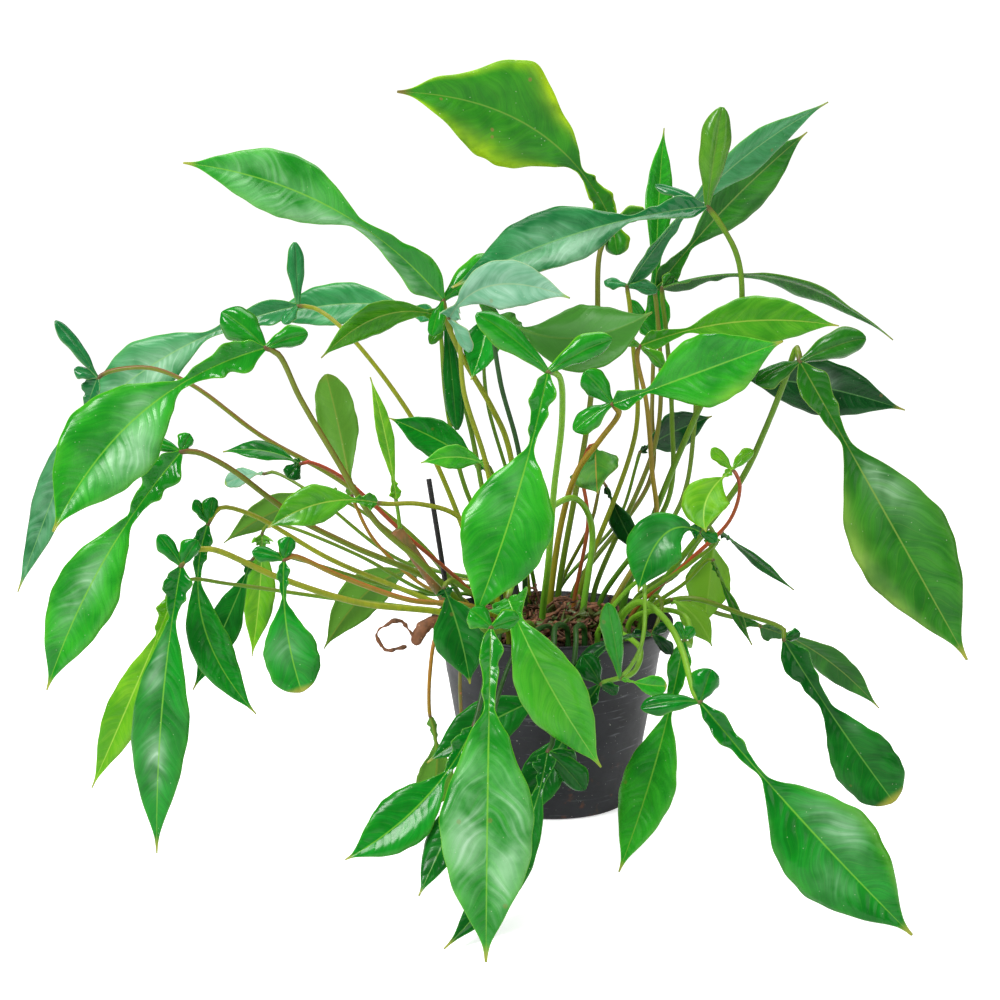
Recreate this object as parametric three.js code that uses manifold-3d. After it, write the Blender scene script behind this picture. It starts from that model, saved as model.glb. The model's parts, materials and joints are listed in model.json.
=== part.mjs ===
// Potted philodendron with three-lobed leaves: a dark nursery pot of soil and a bush of long stalks.
// Millimetres, Z up, origin at the middle of the pot's underside, +Y away from the viewer.
import * as THREE from 'three';
import { mergeVertices } from 'three/addons/utils/BufferGeometryUtils.js';
import Module from 'manifold-3d';

const wasm = await Module();
wasm.setup();

// Pot, thin-walled, with a rim band that stands out from the wall
const POT_RIM_RADIUS = 120;
const POT_HEIGHT = 180;
const POT_BASE_RADIUS = 82;
const POT_WALL = 2.2;
const POT_FLOOR = 6;
const POT_FOOT = 4;
const POT_SIDES = 32;
const RIM_BAND_HEIGHT = 26;
const RIM_BAND_STEP = 3.2;
const RIM_LIP = 4.2;
const RIM_ROUND = 3;

// Soil, filled to just under the rim and a little domed
const SOIL_LEVEL = 166;
const SOIL_EDGE = 152;
const SOIL_BUMP = 3;
const SOIL_SIDES = 16;
const SOIL_MIDDLE = 0.5;

// Stalks and stems stand in plain holes in the soil, with this room round them
const FIT = 0.4;
const ROOT_LOW = 153;
const STALK_RISE = 187;
const STALKS = { large: 2.8, medium: 2.4, small: 1.9 };
const STALK_SIDES = 4;
const STALK_BASE = 1.2;
const STALK_END = 0.9;
const KNEE_REACH = 1.2;
const LONG_SPAN = 130;

// Blades
const BLADE_THICK = 0.9;
const RIB_THICK = 2.2;
const THIN_END = 0.5;
const SLIVER = 0.06;
const NECK_END = 0.32;
const NECK_BLEND = [-0.04, 0.1];
const NECK_FOLD = 32;
const NECK_RUFFLE = 0.2;
const RUFFLE_LIFT = 0.3;
const RUFFLE_STEP = 0.16 / 3;
const LOBE_FOLD = 13;
const LOBE_WAVE = 0.1;
const MARGIN_CURL = 0.14;
const EAR_ARCH = 0.1;

// The place that the leaf spots were read from: millimetres, degrees and pixels
const VIEW = { x: -51, y: -1500, z: 540, pitch: 9.2, focal: 1555, middle: 500 };

// Colours by leaf kind
const TINTS = {
  deep: 0x1d6b2c,
  fresh: 0x3f9a2b,
  lime: 0x74ad2a,
  pale: 0x6fa383,
  dull: 0x4b7f3a,
};

// Shares of the leaf's length and of the lobe's half-width that make the half-width along the leaf
const DRIP_OUTLINE = [
  [0, 0.008, 0], [0.08, 0.056, 0], [0.14, 0.047, 0], [0.22, 0.034, 0], [0.32, 0.022, 0],
  [0.4, 0.01, 0.36], [0.48, 0, 0.74], [0.56, 0, 0.95], [0.63, 0, 1], [0.72, 0, 0.9],
  [0.8, 0, 0.68], [0.88, 0, 0.36], [0.94, 0, 0.12], [0.97, 0, 0.05], [1, 0, 0.02],
];
const BLUNT_OUTLINE = [
  [0, 0.008, 0], [0.08, 0.056, 0], [0.14, 0.047, 0], [0.22, 0.034, 0], [0.32, 0.022, 0],
  [0.42, 0.01, 0.3], [0.52, 0, 0.66], [0.62, 0, 0.92], [0.72, 0, 1], [0.82, 0, 0.95],
  [0.9, 0, 0.8], [0.96, 0, 0.52], [0.985, 0, 0.3], [1, 0, 0.08],
];

// Shares of an ear's length and of its half-width
const EAR_OUTLINE = [
  [0, 0.15], [0.15, 0.36], [0.35, 0.72], [0.55, 0.98], [0.72, 1], [0.86, 0.8], [0.95, 0.48], [1, 0.12],
];

// Where a blade is cut into facets along its length, by the size of the leaf
const STATIONS = {
  large: [0, 0.08, 0.133, 0.187, 0.24, 0.32, 0.4, 0.48, 0.57, 0.68, 0.8, 0.92, 1],
  medium: [0, 0.08, 0.15, 0.24, 0.36, 0.48, 0.62, 0.82, 1],
  small: [0, 0.133, 0.3, 0.45, 0.62, 0.82, 1],
};
const EAR_STATIONS = [0, 0.4, 0.8, 1];

// Each leaf: knee, neck and tip as seen spots with their depth, half-width in mm, turn about the rib.
// Ears are spots with a half-width and a turn; the stalk passes its spots and roots at x, y in the soil.
const LEAVES = [
  // Top of the bush
  {
    name: 'leaf_top_crown', size: 'large', tint: 'fresh', wide: 50, turn: 8, twist: 8,
    knee: [612, 222, 20], neck: [578, 168, 10], tip: [397, 92, -40],
    ears: [[646, 214, 34, 9, 30], [618, 255, 14, 13, 20]],
    stalk: [[600, 252, 14], [597, 330, 12], [588, 420, 22]], root: [8, 52],
  },
  {
    name: 'leaf_top_long', size: 'large', tint: 'pale', wide: 34, turn: 28, twist: 8,
    knee: [707, 207, -20], neck: [628, 220, -40], tip: [452, 288, -86],
    ears: [[722, 107, -24, 17, 12], [655, 186, -8, 7, 55]],
    stalk: [[735, 250, -20], [742, 292, -16], [735, 342, -8], [694, 420, 4]], root: [72, 16],
  },
  {
    name: 'leaf_top_left', size: 'large', tint: 'fresh', wide: 31, turn: 6, twist: 18, neckWide: 1.35,
    knee: [443, 300, -60], neck: [355, 222, -85], tip: [183, 163, -130],
    ears: [[500, 260, -46, 14, 10], [432, 336, -62, 9, 30]],
    stalk: [[447, 322, -50], [462, 356, -35], [492, 408, -10], [508, 445, 6]], root: [-22, 34],
  },
  {
    name: 'leaf_top_pale', size: 'medium', tint: 'pale', wide: 22, turn: 14, twist: -10, neckWide: 1.5,
    knee: [449, 318, -112], neck: [458, 305, -118], tip: [570, 298, -150],
    ears: [[470, 352, -118, 8, 40]],
    stalk: [[457, 326, -104], [464, 392, -84], [487, 468, -52]], root: [-44, 8],
  },
  {
    name: 'leaf_top_narrow', size: 'medium', tint: 'fresh', wide: 23, turn: 52, twist: -20,
    knee: [627, 286, 50], neck: [688, 208, 75], tip: [828, 102, 120],
    ears: [[604, 282, 54, 7, 40], [657, 292, 44, 8, 30]],
    stalk: [[629, 300, 54], [633, 345, 53], [636, 430, 57]], root: [30, 60],
  },
  {
    name: 'leaf_top_dark', size: 'medium', tint: 'deep', wide: 28, turn: 12, twist: 10,
    knee: [655, 290, 114], neck: [692, 244, 138], tip: [807, 132, 198],
    ears: [[680, 284, 110, 8, 40]],
    stalk: [[656, 302, 118], [660, 350, 112], [656, 440, 98]], root: [46, 72],
  },
  {
    name: 'leaf_top_upright', size: 'medium', tint: 'deep', wide: 17, turn: 16, twist: 16, neckWide: 1.3,
    knee: [656, 342, 154], neck: [656, 262, 167], tip: [664, 128, 208],
    ears: [[630, 300, 148, 8, 30], [640, 322, 144, 7, 20]],
    stalk: [[654, 352, 154], [652, 410, 141], [650, 480, 115]], root: [26, 84],
  },
  {
    name: 'leaf_top_arching', size: 'medium', tint: 'fresh', wide: 22, turn: 68, twist: 8,
    knee: [662, 288, 30], neck: [738, 274, 42], tip: [893, 340, 52],
    ears: [[674, 276, 40, 7, 20]],
    stalk: [[662, 296, 32], [666, 330, 26], [672, 420, 25], [668, 500, 22]], root: [50, 32],
  },
  // Upper right
  {
    name: 'leaf_right_bright', size: 'large', tint: 'fresh', wide: 33, turn: 6, twist: 6, neckWide: 1.2,
    knee: [612, 404, -120], neck: [650, 390, -128], tip: [783, 341, -170],
    ears: [[574, 431, -118, 11, 20], [584, 372, -122, 12, 10]],
    stalk: [[619, 412, -110], [600, 440, -84], [578, 470, -56], [562, 520, -22]], root: [-2, 4],
  },
  {
    name: 'leaf_right_oval', size: 'medium', tint: 'fresh', wide: 24, turn: -8, twist: 0,
    knee: [640, 346, -30], neck: [690, 330, -29], tip: [839, 326, -34],
    ears: [[614, 338, -38, 7, 30], [664, 368, -36, 8, 40]],
    stalk: [[637, 356, -24], [646, 400, -15], [652, 470, -2], [655, 525, 7]], root: [58, -4],
  },
  {
    name: 'leaf_right_dark', size: 'medium', tint: 'deep', wide: 30, turn: 12, twist: 0,
    knee: [700, 374, 90], neck: [748, 376, 98], tip: [905, 410, 100],
    ears: [[690, 350, 94, 8, 30]],
    stalk: [[697, 384, 94], [694, 430, 80], [682, 500, 60]], root: [74, 52],
  },
  {
    name: 'leaf_right_hanging', size: 'large', tint: 'fresh', wide: 43, turn: -6, twist: 10,
    knee: [800, 362, -150], neck: [848, 447, -175], tip: [967, 660, -224],
    ears: [[866, 338, -160, 13, 12], [756, 384, -142, 12, 40]],
    stalk: [[797, 348, -142], [785, 380, -130], [765, 430, -104], [740, 482, -74]], root: [92, -12],
  },
  {
    name: 'leaf_right_small', size: 'small', tint: 'lime', wide: 22, turn: 6, twist: 0,
    knee: [732, 470, -112], neck: [722, 478, -114], tip: [706, 532, -160],
    ears: [[711, 449, -112, 6, 20], [753, 450, -112, 6, 20]],
    stalk: [[736, 474, -104], [740, 486, -98], [730, 520, -80], [690, 560, -56]], root: [76, -30],
  },
  {
    name: 'leaf_right_shade', size: 'small', tint: 'deep', wide: 26, turn: 4, twist: 0, neckWide: 1.8,
    knee: [700, 532, -140], neck: [690, 528, -142], tip: [638, 592, -156],
    ears: [[716, 542, -134, 6, 30]],
    stalk: [[704, 522, -132], [716, 540, -116], [692, 562, -86]], root: [60, -46],
  },
  {
    name: 'leaf_right_lime', node: 'leaves_right_back',
    size: 'small', tint: 'lime', wide: 24, turn: 160, twist: 0, neckWide: 1.8,
    knee: [714, 540, -10], neck: [713, 550, -4], tip: [704, 627, -4],
    ears: [],
    stalk: [[711, 530, -6], [700, 540, -7], [676, 575, 1]], root: [84, 38],
  },
  {
    name: 'leaf_right_edge', node: 'leaves_right_back',
    size: 'small', tint: 'deep', wide: 9, turn: 55, twist: 0,
    knee: [722, 532, 70], neck: [732, 540, 82], tip: [794, 590, 96],
    ears: [],
    stalk: [[716, 536, 72], [690, 560, 59]], root: [84, 38],
  },
  {
    name: 'leaf_right_blade', node: 'leaves_right_low',
    size: 'small', tint: 'dull', wide: 9, turn: 60, twist: 0,
    knee: [713, 560, -72], neck: [722, 580, -74], tip: [752, 645, -86],
    ears: [],
    stalk: [[708, 560, -66], [686, 582, -48]], root: [88, -28],
  },
  {
    name: 'leaf_right_low_lime', node: 'leaves_right_low',
    size: 'small', tint: 'lime', wide: 15, turn: 150, twist: 0, neckWide: 1.6,
    knee: [672, 600, -96], neck: [676, 602, -98], tip: [712, 646, -110],
    ears: [],
    stalk: [[668, 600, -70]], root: [88, -28],
  },
  {
    name: 'leaf_inner_dark', node: 'leaves_inner_back',
    size: 'small', tint: 'deep', wide: 22, turn: 20, twist: 0,
    knee: [640, 452, 100], neck: [648, 446, 110], tip: [712, 416, 130],
    ears: [],
    stalk: [[636, 466, 102], [618, 520, 99]], root: [10, 84],
  },
  {
    name: 'leaf_inner_lime', size: 'small', tint: 'lime', wide: 27, turn: 30, twist: 0, neckWide: 1.8,
    knee: [596, 444, -14], neck: [596, 450, -18], tip: [598, 494, -56],
    ears: [[588, 462, -24, 6, 20]],
    stalk: [[590, 446, -6], [582, 470, 0], [588, 520, 4]], root: [22, 12],
  },
  {
    name: 'leaf_inner_hanging', node: 'leaves_inner_back',
    size: 'small', tint: 'deep', wide: 14, turn: 30, twist: 0,
    knee: [606, 486, 60], neck: [612, 500, 64], tip: [640, 556, 72],
    ears: [],
    stalk: [[602, 480, 66], [592, 520, 59]], root: [10, 84],
  },
  // Middle front
  {
    name: 'leaf_front_middle', size: 'large', tint: 'fresh', wide: 38, turn: 6, twist: 0,
    knee: [548, 372, -250], neck: [530, 450, -262], tip: [474, 619, -286],
    ears: [[476, 314, -252, 12, 20], [612, 339, -248, 11, 20]],
    stalk: [[559, 376, -232], [562, 420, -180], [554, 490, -124], [549, 556, -84]], root: [-10, -34],
  },
  {
    name: 'leaf_front_behind', size: 'medium', tint: 'dull', wide: 32, turn: 168, twist: 0, neckWide: 1.6,
    knee: [498, 316, -80], neck: [524, 330, -86], tip: [652, 312, -120],
    ears: [[480, 300, -84, 7, 30]],
    stalk: [[494, 328, -74], [500, 380, -60], [520, 460, -30]], root: [-26, 14],
  },
  {
    name: 'leaf_middle_pointed', size: 'small', tint: 'fresh', wide: 19, turn: 20, twist: 0, neckWide: 1.6,
    knee: [490, 306, -26], neck: [489, 315, -28], tip: [471, 380, -44],
    ears: [],
    stalk: [[489, 298, -18], [484, 340, -6], [487, 400, 10], [512, 490, 30]], root: [-14, 62],
  },
  // Upper left
  {
    name: 'leaf_left_pointed', size: 'medium', tint: 'lime', wide: 17, turn: -14, twist: -20, neckWide: 1.7,
    knee: [446, 318, 4], neck: [424, 312, -2], tip: [321, 358, -30],
    ears: [[457, 430, -22, 10, 10], [430, 344, 0, 7, 30]],
    stalk: [[450, 326, 10], [456, 370, 12], [473, 440, 8]], root: [-52, 28],
  },
  {
    name: 'leaf_left_back', size: 'medium', tint: 'deep', wide: 24, turn: 10, twist: 0,
    knee: [436, 318, 136], neck: [402, 308, 156], tip: [258, 322, 192],
    ears: [],
    stalk: [[440, 330, 138], [446, 400, 123], [466, 490, 101]], root: [-34, 86],
  },
  {
    name: 'leaf_left_arching', size: 'medium', tint: 'pale', wide: 31, turn: 8, twist: 10,
    knee: [298, 306, 110], neck: [206, 336, 115], tip: [82, 424, 146],
    ears: [[295, 242, 110, 9, 12], [284, 324, 94, 7, 30]],
    stalk: [[314, 308, 112], [346, 332, 101], [412, 418, 92], [452, 500, 77]], root: [-68, 58],
  },
  {
    name: 'leaf_left_large', size: 'large', tint: 'fresh', wide: 41, turn: 0, twist: 6, neckWide: 1.25,
    knee: [265, 348, -114], neck: [178, 386, -143], tip: [53, 532, -208],
    ears: [[222, 312, -102, 16, 12], [308, 334, -108, 10, 16]],
    stalk: [[278, 354, -108], [300, 398, -96], [332, 452, -84], [376, 522, -70], [420, 562, -58]],
    root: [-84, -26],
  },
  {
    name: 'leaf_left_far', size: 'medium', tint: 'pale', wide: 22, turn: 34, twist: 0,
    knee: [98, 378, 30], neck: [86, 410, 33], tip: [18, 592, 24],
    ears: [[55, 321, 32, 8, 30], [74, 370, 28, 8, 40]],
    stalk: [
      [108, 372, 34], [150, 368, 32], [192, 385, 30],
      [260, 435, 30], [342, 482, 32], [428, 552, 32],
    ],
    root: [-88, 20],
  },
  {
    name: 'leaf_left_wavy', size: 'large', tint: 'fresh', wide: 31, turn: 4, twist: 12, neckWide: 1.3,
    knee: [181, 452, -96], neck: [128, 522, -108], tip: [47, 690, -128],
    ears: [[138, 439, -96, 8, 20], [190, 434, -90, 8, 20]],
    stalk: [
      [196, 452, -90], [226, 466, -74], [272, 500, -46],
      [300, 520, -30], [352, 546, -22], [436, 584, -16],
    ],
    root: [-94, -6],
  },
  // Lower left
  {
    name: 'leaf_left_glossy', size: 'large', tint: 'deep', wide: 26, turn: 4, twist: 10,
    knee: [181, 566, -172], neck: [172, 622, -178], tip: [157, 853, -196],
    ears: [[158, 535, -172, 8, 20], [197, 540, -170, 9, 20]],
    stalk: [[192, 552, -166], [210, 549, -160], [280, 578, -134], [360, 603, -112], [440, 612, -92]],
    root: [-66, -64],
  },
  {
    name: 'leaf_left_slim', node: 'leaves_left_slim',
    size: 'medium', tint: 'deep', wide: 20, turn: 12, twist: -12,
    knee: [208, 524, -56], neck: [198, 580, -58], tip: [256, 714, -66],
    ears: [[194, 500, -56, 6, 30], [213, 497, -54, 8, 20]],
    stalk: [[220, 508, -50], [250, 514, -46], [332, 560, -46], [424, 598, -52]], root: [-72, -48],
  },
  {
    name: 'leaf_left_lime', node: 'leaves_left_low',
    size: 'small', tint: 'lime', wide: 17, turn: 0, twist: 10, neckWide: 1.6,
    knee: [262, 534, 62], neck: [262, 546, 68], tip: [252, 657, 72],
    ears: [],
    stalk: [[268, 524, 64], [286, 526, 58], [360, 556, 53], [428, 592, 46]], root: [-76, 56],
  },
  {
    name: 'leaf_left_shaded', node: 'leaves_left_low',
    size: 'small', tint: 'deep', wide: 20, turn: 30, twist: 0,
    knee: [252, 560, -4], neck: [246, 576, -4], tip: [193, 690, -20],
    ears: [],
    stalk: [[262, 552, 4], [300, 560, 16], [380, 584, 38], [426, 594, 50]], root: [-76, 56],
  },
  {
    name: 'leaf_left_behind', node: 'leaves_left_slim',
    size: 'small', tint: 'lime', wide: 19, turn: 20, twist: 0,
    knee: [176, 592, -112], neck: [156, 640, -118], tip: [92, 788, -136],
    ears: [],
    stalk: [[188, 580, -108], [230, 584, -98], [330, 598, -84], [428, 610, -66]], root: [-72, -48],
  },
  {
    name: 'leaf_left_blunt', size: 'medium', tint: 'deep', wide: 24, turn: 4, twist: 0, blunt: true,
    knee: [284, 560, -206], neck: [284, 600, -210], tip: [302, 692, -216],
    ears: [[252, 552, -206, 7, 20], [290, 537, -202, 8, 20]],
    stalk: [[292, 556, -200], [340, 576, -172], [410, 600, -140], [470, 606, -112]], root: [-44, -72],
  },
  {
    name: 'leaf_left_pale_back', size: 'small', tint: 'pale', wide: 19, turn: 158, twist: 0, neckWide: 1.4,
    knee: [340, 500, 98], neck: [318, 500, 111], tip: [224, 543, 134],
    ears: [],
    stalk: [[350, 504, 100], [400, 540, 91], [440, 580, 75]], root: [-46, 72],
  },
  {
    name: 'leaf_left_level', size: 'medium', tint: 'fresh', wide: 19, turn: 10, twist: 0, neckWide: 1.5,
    knee: [378, 503, -84], neck: [352, 500, -88], tip: [268, 528, -102],
    ears: [],
    stalk: [[388, 504, -78], [420, 504, -62], [462, 520, -40]], root: [-50, -22],
  },
  {
    name: 'leaf_left_rolled', node: 'leaves_left_back',
    size: 'small', tint: 'pale', wide: 11, turn: 30, twist: 0, blunt: true,
    knee: [264, 474, 134], neck: [258, 474, 140], tip: [225, 484, 154],
    ears: [],
    stalk: [[272, 472, 136], [310, 492, 121], [400, 560, 105]], root: [-44, 86],
  },
  {
    name: 'leaf_left_hooked', size: 'small', tint: 'deep', wide: 12, turn: 24, twist: 30, neckWide: 1.2,
    knee: [300, 464, -50], neck: [292, 460, -50], tip: [223, 452, -46],
    ears: [[288, 478, -54, 9, 10]],
    stalk: [[308, 462, -44], [340, 476, -30], [400, 530, -10]], root: [-68, 4],
  },
  {
    name: 'leaf_left_erect', size: 'small', tint: 'dull', wide: 21, turn: 172, twist: 0, blunt: true,
    knee: [352, 496, 54], neck: [349, 478, 63], tip: [326, 374, 94],
    ears: [],
    stalk: [[356, 506, 56], [374, 540, 49], [424, 586, 39]], root: [-84, 30],
  },
  {
    name: 'leaf_left_spear', size: 'small', tint: 'lime', wide: 8, turn: 10, twist: 0,
    knee: [396, 500, -46], neck: [393, 478, -46], tip: [370, 377, -50],
    ears: [],
    stalk: [[398, 512, -40]], root: [-146, -34, 268],
  },
  {
    name: 'leaf_left_heart', node: 'leaves_left_inner',
    size: 'small', tint: 'deep', wide: 20, turn: 10, twist: 0, neckWide: 1.4,
    knee: [484, 468, 46], neck: [472, 460, 42], tip: [389, 418, 30],
    ears: [],
    stalk: [[490, 474, 48], [500, 520, 44]], root: [-32, 36],
  },
  {
    name: 'leaf_left_bright', node: 'leaves_left_inner',
    size: 'small', tint: 'lime', wide: 12, turn: 8, twist: 0, neckWide: 1.3,
    knee: [488, 466, -30], neck: [480, 462, -34], tip: [421, 463, -50],
    ears: [],
    stalk: [[492, 472, -22], [502, 520, 4]], root: [-32, 36],
  },
  {
    name: 'leaf_left_low_back', node: 'leaves_left_back',
    size: 'small', tint: 'dull', wide: 24, turn: 168, twist: 0, neckWide: 1.6,
    knee: [414, 570, 128], neck: [402, 572, 139], tip: [324, 649, 156],
    ears: [],
    stalk: [[422, 566, 132], [450, 576, 116]], root: [-44, 86],
  },
  // Lower front
  {
    name: 'leaf_front_short', size: 'medium', tint: 'deep', wide: 25, turn: 4, twist: 0, neckWide: 2,
    knee: [444, 588, -150], neck: [448, 598, -152], tip: [470, 684, -170],
    ears: [],
    stalk: [[450, 580, -140], [466, 590, -118]], root: [-32, -58],
  },
  {
    name: 'leaf_front_long', size: 'large', tint: 'deep', wide: 37, turn: 0, twist: 0,
    knee: [491, 628, -300], neck: [489, 716, -338], tip: [486, 962, -390],
    ears: [[519, 618, -296, 9, 30], [470, 610, -296, 11, 20]],
    stalk: [[484, 621, -266], [483, 628, -222], [494, 632, -180], [516, 626, -140]], root: [-20, -80],
  },
  {
    name: 'leaf_front_bright', size: 'large', tint: 'fresh', wide: 29, turn: 6, twist: 8, neckWide: 2.2,
    knee: [508, 598, -196], neck: [518, 622, -212], tip: [601, 767, -238],
    ears: [],
    stalk: [
      [512, 584, -188], [524, 552, -156], [546, 512, -90],
      [574, 498, -60], [592, 528, -26],
    ],
    root: [30, -18],
  },
  {
    name: 'leaf_front_low_dark', size: 'medium', tint: 'deep', wide: 22, turn: 10, twist: 0, neckWide: 1.4,
    knee: [562, 690, -176], neck: [536, 700, -182], tip: [427, 763, -206],
    ears: [],
    stalk: [[572, 672, -168], [576, 642, -146], [576, 628, -118]], root: [28, -80],
  },
  {
    name: 'leaf_front_dull', size: 'small', tint: 'dull', wide: 17, turn: 176, twist: 0, blunt: true,
    knee: [430, 716, -150], neck: [436, 742, -152], tip: [428, 806, -156],
    ears: [],
    stalk: [[429, 704, -150], [430, 672, -142], [436, 636, -130], [450, 618, -116]], root: [-60, -68],
  },
  {
    name: 'leaf_front_floor_left', size: 'medium', tint: 'deep', wide: 24, turn: 8, twist: 0, neckWide: 1.3,
    knee: [474, 726, -250], neck: [444, 776, -262], tip: [345, 860, -288],
    ears: [],
    stalk: [[478, 712, -242], [488, 668, -214], [497, 644, -160], [502, 628, -126]], root: [-38, -84],
  },
  {
    name: 'leaf_front_floor_mid', size: 'small', tint: 'deep', wide: 17, turn: 30, twist: 0,
    knee: [478, 762, -262], neck: [464, 796, -270], tip: [419, 896, -306],
    ears: [],
    stalk: [[484, 750, -256], [500, 690, -226], [520, 644, -166], [540, 628, -126]], root: [-2, -86],
  },
  {
    name: 'leaf_front_floor_back', size: 'medium', tint: 'deep', wide: 20, turn: 18, twist: 0,
    knee: [548, 752, -232], neck: [540, 790, -252], tip: [444, 949, -366],
    ears: [[584, 790, -226, 12, 20], [574, 764, -222, 9, 30]],
    stalk: [[552, 744, -226], [554, 700, -200], [554, 642, -156], [556, 626, -124]], root: [12, -86],
  },
  {
    name: 'leaf_front_wide', node: 'leaves_front_right',
    size: 'medium', tint: 'dull', wide: 19, turn: 10, twist: 0,
    knee: [600, 684, -196], neck: [566, 736, -204], tip: [516, 826, -222],
    ears: [[582, 656, -192, 13, 20], [616, 694, -190, 7, 40]],
    stalk: [[612, 680, -188], [634, 672, -166], [640, 648, -138]], root: [42, -80],
  },
  {
    name: 'leaf_front_arched', size: 'small', tint: 'deep', wide: 11, turn: 50, twist: 0,
    knee: [652, 635, -172], neck: [618, 640, -176], tip: [566, 692, -182],
    ears: [[668, 626, -170, 5, 20], [672, 654, -174, 6, 20]],
    stalk: [[656, 626, -158], [662, 606, -126], [656, 596, -92]], root: [86, -52],
  },
  {
    name: 'leaf_front_ears', node: 'leaves_front_right',
    size: 'small', tint: 'fresh', wide: 9, turn: 10, twist: 0, blunt: true,
    knee: [620, 678, -232], neck: [634, 682, -232], tip: [667, 686, -234],
    ears: [[607, 603, -236, 9, 10]],
    stalk: [[628, 670, -226], [641, 646, -206], [645, 600, -160], [640, 580, -120]], root: [42, -80],
  },
  // Lower right
  {
    name: 'leaf_right_low', size: 'medium', tint: 'fresh', wide: 25, turn: 4, twist: 8,
    knee: [684, 640, -168], neck: [668, 716, -178], tip: [619, 872, -212],
    ears: [[694, 628, -164, 6, 20], [676, 622, -166, 6, 30]],
    stalk: [[690, 646, -160], [688, 620, -142], [668, 610, -114]], root: [72, -56],
  },
  {
    name: 'leaf_right_front', size: 'large', tint: 'fresh', wide: 41, turn: 4, twist: 0,
    knee: [700, 702, -286], neck: [766, 780, -312], tip: [912, 935, -352],
    ears: [[641, 708, -276, 9, 20], [711, 669, -282, 12, 16]],
    stalk: [[694, 692, -276], [682, 650, -230], [664, 618, -174], [640, 602, -128]], root: [60, -72],
  },
  {
    name: 'leaf_right_blunt', size: 'medium', tint: 'deep', wide: 30, turn: 6, twist: 0, blunt: true, neckWide: 1.3,
    knee: [784, 640, -112], neck: [826, 706, -122], tip: [894, 802, -144],
    ears: [[800, 634, -106, 6, 30]],
    stalk: [[784, 630, -106], [742, 614, -92], [686, 598, -76]], root: [86, -40],
  },
  {
    name: 'leaf_right_low_back', size: 'medium', tint: 'dull', wide: 18, turn: 30, twist: 0, neckWide: 1.4,
    knee: [760, 626, 20], neck: [788, 636, 37], tip: [879, 708, 64],
    ears: [[736, 620, 20, 6, 30]],
    stalk: [[752, 622, 24], [720, 614, 13], [684, 602, 9]], root: [88, 10],
  },
];

// Woody pieces as runs of tube through places in mm
const WOOD = [
  {
    name: 'crown', color: 0x6b5138, holds: [],
    runs: [{
      line: [[-16, 24, 150], [-12, 25, 170], [8, 28, 176], [30, 36, 173], [40, 44, 152]],
      sides: 6, radius: [8, 7],
    }],
  },
  {
    name: 'stem_left', color: 0x8a6a44, holds: ['leaf_left_spear'],
    runs: [{
      line: [[-96, -22, 152], [-98, -24, 190], [-118, -30, 226], [-150, -34, 274]],
      sides: 6, radius: [5.5, 6],
    }],
  },
  {
    name: 'rhizome', color: 0x8a6a44, holds: [],
    runs: [{
      line: [[-84, -46, 152], [-88, -48, 180], [-106, -58, 190], [-124, -68, 186], [-131, -72, 170]],
      sides: 6, radius: [5, 6.5],
    }, {
      line: [[-131, -72, 176], [-146, -80, 196], [-166, -84, 184], [-158, -82, 168], [-140, -78, 170]],
      sides: 4, radius: [1.6, 1.2],
    }],
  },
  {
    name: 'stem_hanging', color: 0x5c7a35, holds: [],
    runs: [{
      line: [[-58, -84, 152], [-61, -88, 184], [-78, -104, 188], [-87, -108, 160], [-84, -104, 60]],
      sides: 4, radius: [2, 1.6],
    }],
  },
  {
    name: 'stake_tall', color: 0x1c1a1c, holds: [],
    runs: [{ line: [[-97, 12, 150], [-108, 12, 230], [-121, 12, 316]], sides: 6, radius: [2.4, 2.4] }],
  },
  {
    name: 'stake_short', color: 0x1c1a1c, holds: [],
    runs: [{ line: [[-34, -12, 150], [-35, -12, 190], [-37, -12, 226]], sides: 6, radius: [2.6, 2.6] }],
  },
];

// A spot in the picture at a known depth, as a place in the part's frame
function spot([across, down, depth]) {
  const pitch = THREE.MathUtils.degToRad(VIEW.pitch);
  const away = depth - VIEW.y;
  const slope = (VIEW.middle - down) / VIEW.focal;
  const climb = (slope * Math.cos(pitch) - Math.sin(pitch)) / (Math.cos(pitch) + slope * Math.sin(pitch));
  const lift = away * climb;
  const range = away * Math.cos(pitch) - lift * Math.sin(pitch);
  return new THREE.Vector3(VIEW.x + (across - VIEW.middle) * range / VIEW.focal, depth, VIEW.z + lift);
}

// A smooth value along a list of knots, by cubic steps whose slopes come from the neighbours
function smooth(knots, at, column) {
  let i = 0;
  while (i < knots.length - 2 && at > knots[i + 1][0]) i += 1;
  const slope = (k) => {
    const before = knots[Math.max(k - 1, 0)];
    const after = knots[Math.min(k + 1, knots.length - 1)];
    return (after[column] - before[column]) / (after[0] - before[0]);
  };
  const span = knots[i + 1][0] - knots[i][0];
  const t = (at - knots[i][0]) / span;
  const rest = 1 - t;
  return knots[i][column] * (1 + 2 * t) * rest * rest + slope(i) * span * t * rest * rest
    + knots[i + 1][column] * t * t * (3 - 2 * t) - slope(i + 1) * span * t * t * rest;
}

// A closed geometry from positions and faces, turned so that its faces point out
function closed(positions, faces) {
  let volume = 0;
  const corner = (i) => new THREE.Vector3().fromArray(positions, i * 3);
  for (let i = 0; i < faces.length; i += 3) {
    volume += corner(faces[i]).dot(corner(faces[i + 1]).cross(corner(faces[i + 2])));
  }
  const geometry = new THREE.BufferGeometry();
  geometry.setAttribute('position', new THREE.Float32BufferAttribute(positions, 3));
  geometry.setIndex(volume > 0 ? faces : faces.slice().reverse());
  return geometry;
}

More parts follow.
